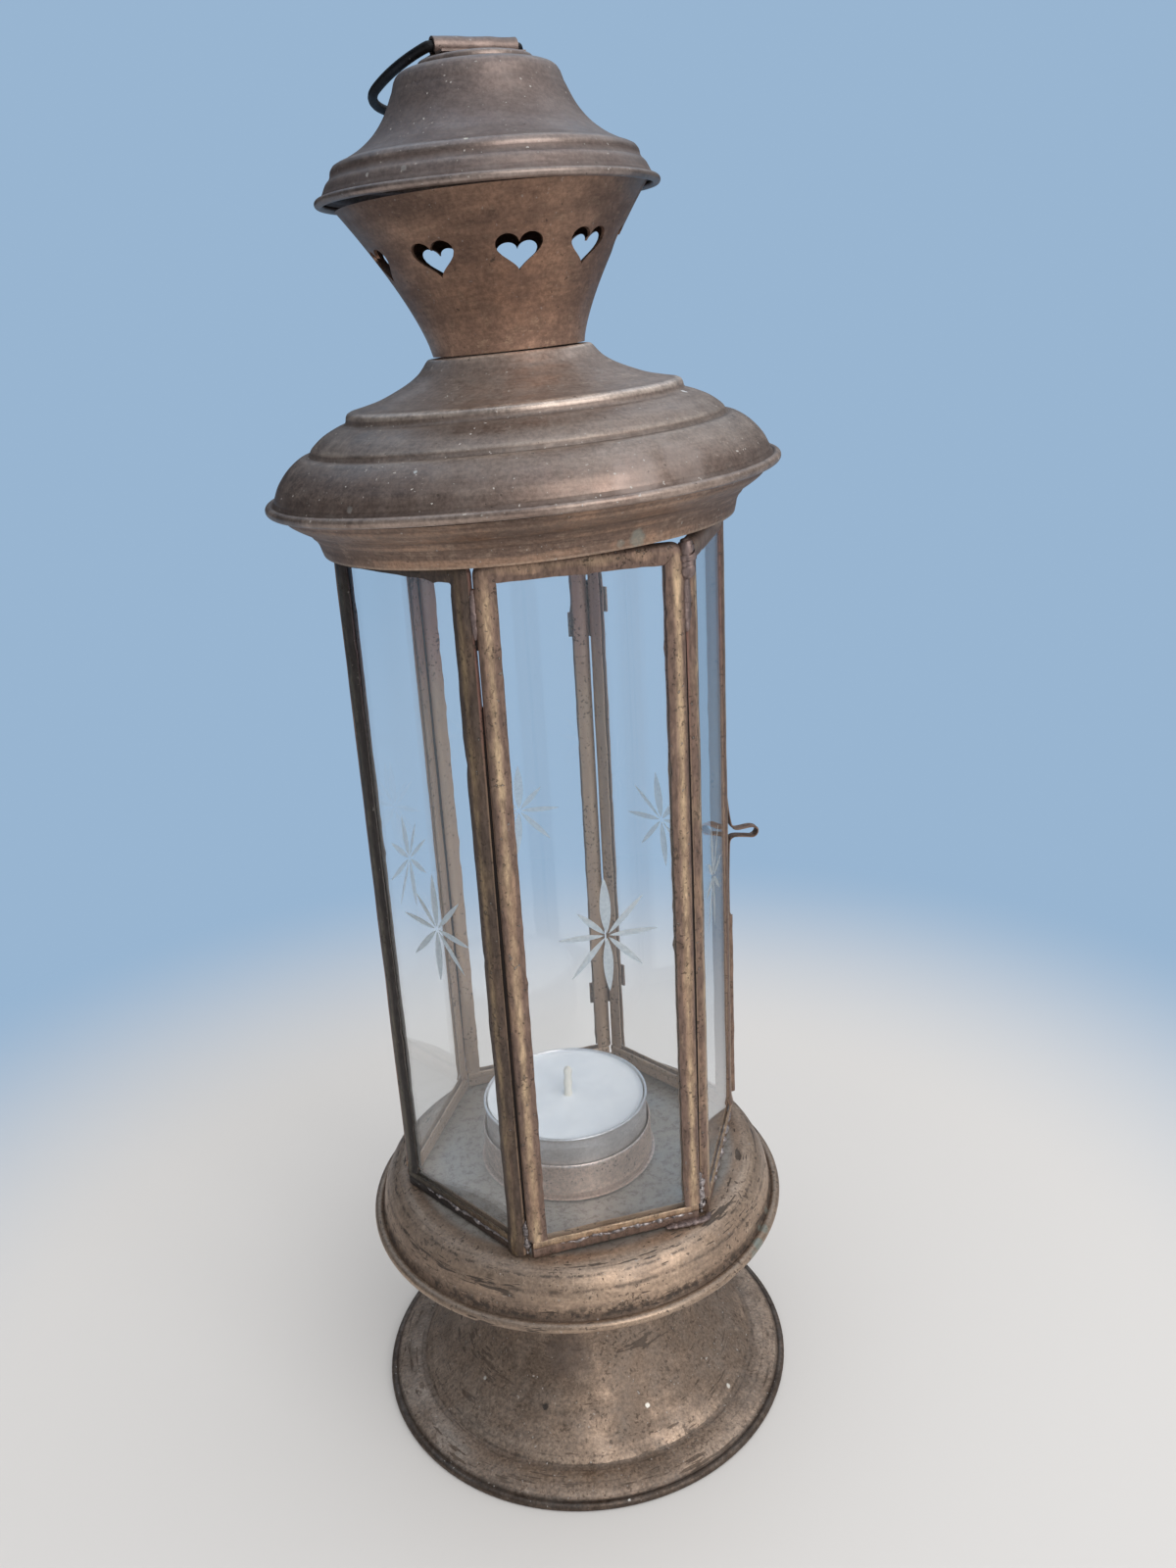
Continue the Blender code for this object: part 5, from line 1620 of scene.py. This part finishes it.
def heart_reach(angle):
    """How far a heart's edge lies from its middle in each direction, by the usual sum of cosines."""
    t = np.linspace(0.0, 2.0 * math.pi, 2001)[:-1]
    x = 16.0 * np.sin(t) ** 3 * (0.0082 / 32.0)
    rise = 13.0 * np.cos(t) - 5.0 * np.cos(2 * t) - 2.0 * np.cos(3 * t) - np.cos(4 * t)
    y = (rise + 2.5) * (0.0061 / 29.0)
    turn = np.arctan2(y, x) % (2.0 * math.pi)
    order = np.argsort(turn)
    return np.interp(angle % (2.0 * math.pi), turn[order], np.hypot(x, y)[order], period=2.0 * math.pi)


# The hearts, and how many degrees some of them stand off their even places

HEARTS = 9
HEART_TURNS = {1: -4.0, 2: -5.0, 6: -8.5, 7: -2.0}


def make_neck():
    """The pierced neck: like sectors of an inverted trumpet, each from a heart's edge to its frame.

    The trumpet's radius is the foot's plus the spread times the height's share to the power 1.35. In
    each sector a point at (step, turn) lies between the heart's edge and the sector's border, in the
    same direction from the heart's middle, and is then laid on the trumpet.
    """
    sector = 2.0 * math.pi / HEARTS
    flat_radius = 0.0218
    sides, ends = 20, 17
    steps = np.concatenate([[0.0, 0.03, 0.08], np.linspace(0.16, 1.0, 11)])[:, None]
    up = np.linspace(0.0, NECK_HEIGHT, sides)
    over = 2 * ends - 2
    border_rise = np.concatenate([np.full(over + 1, NECK_HEIGHT), up[-2::-1], np.zeros(over), up[1:-1]])
    rims = (np.arange(over), np.arange(over) + over + sides - 1)
    spread = NECK_TOP_RADIUS - NECK_FOOT_RADIUS

    def laid(turn, rise, wall):
        """Points on the trumpet, a wall inside it, at a turn and a height."""
        rise = np.clip(rise, 0.0, NECK_HEIGHT)
        radius = NECK_FOOT_RADIUS + spread * (rise / NECK_HEIGHT) ** 1.35 - wall
        radius = radius + ring_ripple(turn, 17, 0.0001)
        return stacked(radius * np.sin(turn), -radius * np.cos(turn), NECK_RISE + rise)

    sheets, faces, start = [], [], 0
    for k in range(HEARTS):
        middle = math.radians(-2.5) + k * sector
        rise = 0.0164 + 0.0005 * (1.0 - math.cos(middle))
        heart = middle + math.radians(HEART_TURNS.get(k, 0.0))
        left, right = middle - sector / 2.0, middle + sector / 2.0
        border_turn = np.concatenate(
            [
                np.linspace(right, heart, ends),
                np.linspace(heart, left, ends)[1:],
                np.full(sides - 1, left),
                np.linspace(left, heart, ends)[1:],
                np.linspace(heart, right, ends)[1:],
                np.full(sides - 2, right),
            ]
        )
        dx = (border_turn - heart) * flat_radius
        dy = border_rise - rise
        share = heart_reach(np.arctan2(dy, dx)) / np.hypot(dx, dy)
        x = dx * (share + (1.0 - share) * steps)
        y = dy * (share + (1.0 - share) * steps)
        for wall in (0.0, SHEET):
            sheets.append(laid(heart + x / flat_radius, rise + y, wall).reshape(-1, 3))
        rows, columns = x.shape
        half = rows * columns
        faces.append(grid_faces(rows, columns, False, True, start))
        faces.append(grid_faces(rows, columns, False, True, start + half, flip=True))
        first = np.arange(columns)
        last = (rows - 1) * columns + first
        for edge, kept in ((first, first), (last, rims[0]), (last, rims[1])):
            a, b = edge[kept], edge[(kept + 1) % columns]
            faces.append(start + np.stack([a, b, b + half, a + half], axis=-1))
        start += 2 * half
    points, faces = on_roof(np.concatenate(sheets)), np.concatenate(faces)
    return finish_piece(
        "neck", points, faces, "chimney_neck", "lantern", "dark_brass", neck_brass, 40.0, 4e-6
    )


make_neck()


def cap_line():
    """Flat top, rounded edge, hollow flare, shoulder, two small steps and the rolled rim."""
    top = [(0.0, CAP_HEIGHT), (0.0070, CAP_HEIGHT), (0.0126, CAP_HEIGHT)]
    top += [(0.0139, 0.02065), (0.0148, 0.0201), (0.0154, 0.0192)]
    flare = [(0.0159, 0.0177), (0.0179, 0.0138), (0.0203, 0.0108)]
    flare += [(0.0232, 0.0085), (0.0260, 0.0070), (0.0278, 0.0063)]
    shoulder = [(0.0284, 0.0060), (0.0289, 0.0053), (0.0291, 0.0043)]
    steps = [(0.0294, 0.0038), (0.0301, 0.0031), (0.0306, 0.0022), (0.0309, 0.0016), (0.0313, 0.00095)]
    line = profile((7, top), (8, flare), (5, shoulder), (5, steps))
    return line, ((CAP_RIM_RADIUS - CAP_BEAD, 0.0), CAP_BEAD)


cap_outer, cap_bead = cap_line()
spun_piece(
    "cap", cap_outer, on_cap, "cap_shell", "roof_brass", cap_brass,
    bead=cap_bead, closed_top=True, uneven=0.00016, seed=19,
)
boss_low = CAP_HEIGHT + CLEAR
boss_high = boss_low + BOSS_THICKNESS
boss_edge = [(0.0097, boss_high), (0.0105, boss_low + 0.0010)]
boss_edge += [(0.0108, boss_low + 0.0004), (0.0108, boss_low)]
boss_top = [(0.0, boss_high), (0.0060, boss_high)]
boss_line = profile((1, boss_top), (5, boss_edge), (1, [(0.0, boss_low)]))
turned_solid("boss", boss_line, on_cap, "cap_boss", "roof_brass", cap_brass, "lantern", 23, 0.0001)

# Strap and bail

STRAP_TURN = math.radians(12.0)
strap_rise = STRAP_RISE + STRAP_OUTER
strap_way = turn_about(UP, STRAP_TURN)


def on_strap(points):
    """From (along the strap, across it, up) about its eye to the cap."""
    return on_cap(np.asarray(points) @ strap_way.T + UP * strap_rise)


def make_strap():
    """The rolled strap: an omega of sheet, two feet and a round eye, carried along the bail's axis."""
    outer_radius, wall = STRAP_OUTER - 0.00002, 0.00045
    low = wall - STRAP_OUTER
    start = math.asin(low / outer_radius)
    angle = np.linspace(start, math.pi - start, 30)

    def omega(radius, rise):
        """The strap's line of (across, up): a foot at a rise, the eye and the other foot."""
        foot = stacked(np.linspace(0.0045, 0.0017, 8), rise)
        eye = stacked(radius * np.cos(angle), radius * np.sin(angle))
        return np.concatenate([foot, eye, foot[::-1] * (-1.0, 1.0)])

    along = np.linspace(-STRAP_LENGTH / 2.0, STRAP_LENGTH / 2.0, 26)
    spread = 1.0 + 0.03 * ripple(along, 61, 6, 0.01)[:, None]
    lift = 0.00005 * ripple(along, 62, 6, 0.008)[:, None]
    sheets = []
    for across, up in (omega(outer_radius, low).T, omega(outer_radius - wall, low - wall + 0.00004).T):
        sheets.append(stacked(along[:, None], across * spread, up + lift * (up > 0.0)))
    return finish_plate("strap", sheets, on_strap, "handle_strap", "lantern", "roof_brass", cap_brass)


make_strap()


def make_bail():
    """The wire bail: a straight through the strap's eye and two half ellipses, shallow and deep."""
    half_width, widest, drop, rest = 0.0126, 0.0198, 0.0333, math.radians(10.6)
    straight = STRAP_LENGTH / 2.0 - 0.0002
    bend = straight + 0.0009
    upper = widest / math.sqrt(1.0 - (bend / half_width) ** 2)
    angle = np.linspace(math.asin(bend / half_width), math.pi, 40)
    depth = np.where(angle < math.pi / 2.0, upper, drop - widest)
    bow = stacked(half_width * np.sin(angle), widest - depth * np.cos(angle))
    bow[0] = (bend, 0.00025)
    middle = stacked(np.linspace(-straight, straight, 12), 0.0)
    across, out = np.concatenate([middle, bow, bow[-2::-1] * (-1.0, 1.0)]).T
    path = stacked(across, out * math.cos(rest), -out * math.sin(rest))
    doubled = np.repeat(path, 2, axis=0)
    doubled[1::2] = (path + np.roll(path, -1, axis=0)) / 2.0
    points, faces = swept_rod(doubled, WIRE_RADIUS, round_path=True)
    points = on_strap(points)
    return finish_piece("bail", points, faces, "bail_wire", "bail", "dark_wire", black_wire, 80.0)


make_bail()

# Model pieces that keep their own shape

for node_name, used in {
    "tealight_sustainer": foil,
    "roof_seat_ring": dark_brass,
    "hinge_upper_door": frame_brass,
    "hinge_upper_fixed": frame_brass,
    "hinge_lower_door": frame_brass,
    "hinge_lower_fixed": frame_brass,
    "hinge_upper_pin": black_wire,
    "hinge_lower_pin": black_wire,
}.items():
    reskin(node_name, used)

# Table, light and camera

BACKDROP = (0.315, 0.462, 0.640)
VIEW_TURN = math.radians(-13.0)
LANTERN_MIDDLE = UP * 0.15


def seen_ray(tree, path):
    """1 for rays that come from the camera, straight or through glass, and else 0."""
    return maths(tree, "MAXIMUM", path["Is Camera Ray"], path["Is Transmission Ray"])


def make_table():
    """A pale round table top, flat and large: rings of points about the lantern's foot.

    Far off it fades into the backdrop's colour, and so it does in reflections behind the lantern.
    """
    material, tree, shader, where = new_material("pale_table")
    shader.inputs["Base Color"].default_value = colour(0.595, 0.59, 0.588)
    shader.inputs["Roughness"].default_value = 0.55
    path = add(tree, "ShaderNodeLightPath").outputs
    seen = seen_ray(tree, path)
    far = vector_maths(tree, "LENGTH", where)["Value"]
    fade = product(tree, between(tree, far, 0.15, 0.32), seen)
    back = vector_maths(tree, "DOT_PRODUCT", where, (0.225, 0.974, 0.0))["Value"]
    mirrored = product(tree, path["Is Glossy Ray"], opposite(tree, seen))
    wall = product(tree, between(tree, back, 0.06, 0.22), mirrored)
    level = times_plus(tree, seen, 0.5, 0.5)
    glow = add(tree, "ShaderNodeEmission", {"Color": colour(*BACKDROP), "Strength": level}).outputs[0]
    inputs = {0: maths(tree, "MAXIMUM", fade, wall), 1: shader.outputs[0], 2: glow}
    mixed = add(tree, "ShaderNodeMixShader", inputs).outputs[0]
    tree.links.new(mixed, tree.nodes["Material Output"].inputs["Surface"])
    radius = np.array([0.0, 0.1, 0.3, 0.8, 2.0, 6.0])[:, None]
    steps = 48
    angle = np.arange(steps) * 2.0 * math.pi / steps
    points = stacked(radius * np.cos(angle), radius * np.sin(angle), 0.0).reshape(-1, 3)
    mesh = bpy.data.meshes.new("table")
    faces = grid_faces(len(radius), steps, round_columns=True, flip=True)
    mesh.from_pydata(points.tolist(), [], faces.tolist())
    mesh.materials.append(material)
    table = link_object("table", mesh)


make_table()


def make_world():
    """A pale surround, brighter above and towards the window, and plain where it is seen."""
    world = bpy.data.worlds.new("surround")
    bpy.context.scene.world = world
    world.use_nodes = True
    tree = world.node_tree
    tree.nodes.clear()
    way = add(tree, "ShaderNodeTexCoord").outputs["Generated"]

    def towards(direction, low, high):
        """How near the ray's direction lies to another, from 0 to 1."""
        return between(tree, vector_maths(tree, "DOT_PRODUCT", way, direction)["Value"], low, high)

    soft = times_plus(tree, towards((0.34, -0.45, 0.825), -0.65, 1.0), 1.26, 0.07)
    right = towards((0.790, -0.613, 0.0), -0.9, 0.9)
    above = towards((0.150, 0.280, 0.948), 0.45, 0.97)
    mirrored = times_plus(tree, right, 0.20, times_plus(tree, above, 1.20, 0.09))
    path = add(tree, "ShaderNodeLightPath").outputs
    glossy = path["Is Glossy Ray"]
    cool = blend_colour(tree, right, colour(*BACKDROP), colour(0.80, 0.84, 0.88))
    tint = blend_colour(tree, glossy, colour(1.0, 0.985, 0.97), cool)
    level = add(tree, "ShaderNodeMix", {0: glossy, 2: soft, 3: mirrored}).outputs[0]
    lit = add(tree, "ShaderNodeBackground", {"Color": tint, "Strength": level}).outputs[0]
    back = add(tree, "ShaderNodeBackground", {"Color": colour(*BACKDROP), "Strength": 1.0}).outputs[0]
    mixed = add(tree, "ShaderNodeMixShader", {0: seen_ray(tree, path), 1: lit, 2: back}).outputs[0]
    add(tree, "ShaderNodeOutputWorld", {"Surface": mixed})


make_world()


def make_lamp(name, azimuth, height, distance, size, power, tint):
    """A soft square lamp aimed at the lantern, at an angle from the viewer's side to their right."""
    angle = math.radians(azimuth) + VIEW_TURN
    rise = math.radians(height)
    level = np.array([math.sin(angle), -math.cos(angle), 0.0])
    way = math.cos(rise) * level + math.sin(rise) * UP
    lamp = bpy.data.lights.new(name, "AREA")
    lamp.shape = "SQUARE"
    lamp.size = size
    lamp.energy = power
    lamp.color = tint
    holder = link_object(name, lamp)
    holder.location = Vector(way * distance + LANTERN_MIDDLE)
    holder.rotation_mode = "QUATERNION"
    holder.rotation_quaternion = Vector(-way).to_track_quat("-Z", "Y")


make_lamp("window", 34.0, 33.0, 1.3, 1.0, 8.7, (1.0, 0.98, 0.95))
make_lamp("side", 80.0, 20.0, 1.4, 0.9, 0.5, (1.0, 0.98, 0.96))


def make_camera():
    """The camera stands a quarter of a metre off, looks down 20 degrees and is held a little askew."""
    yaw, pitch, roll = -0.03144, 0.35710, 0.05536
    focal_pixels, photo_height, film = 1290.05, 1600.0, 36.0
    about_z = turn_about(UP, yaw)
    about_x = turn_about((1.0, 0.0, 0.0), -pitch)
    about_y = turn_about((0.0, 1.0, 0.0), roll)
    viewer = turn_about(UP, VIEW_TURN)
    aim = viewer @ about_z @ about_x @ about_y
    camera = bpy.data.cameras.new("view")
    camera.sensor_width = film
    camera.lens = focal_pixels / photo_height * film
    camera.clip_start = 0.01
    camera.clip_end = 50.0
    holder = link_object("view", camera)
    whole = np.eye(4)
    whole[:3, :3] = np.stack([aim[:, 0], aim[:, 2], -aim[:, 1]], axis=1)
    whole[:3, 3] = viewer @ (0.0, -0.26328, 0.25583)
    holder.matrix_world = Matrix(whole.tolist())
    bpy.context.scene.camera = holder


make_camera()
bpy.context.scene.view_settings.view_transform = "Standard"

bpy.context.view_layer.update()
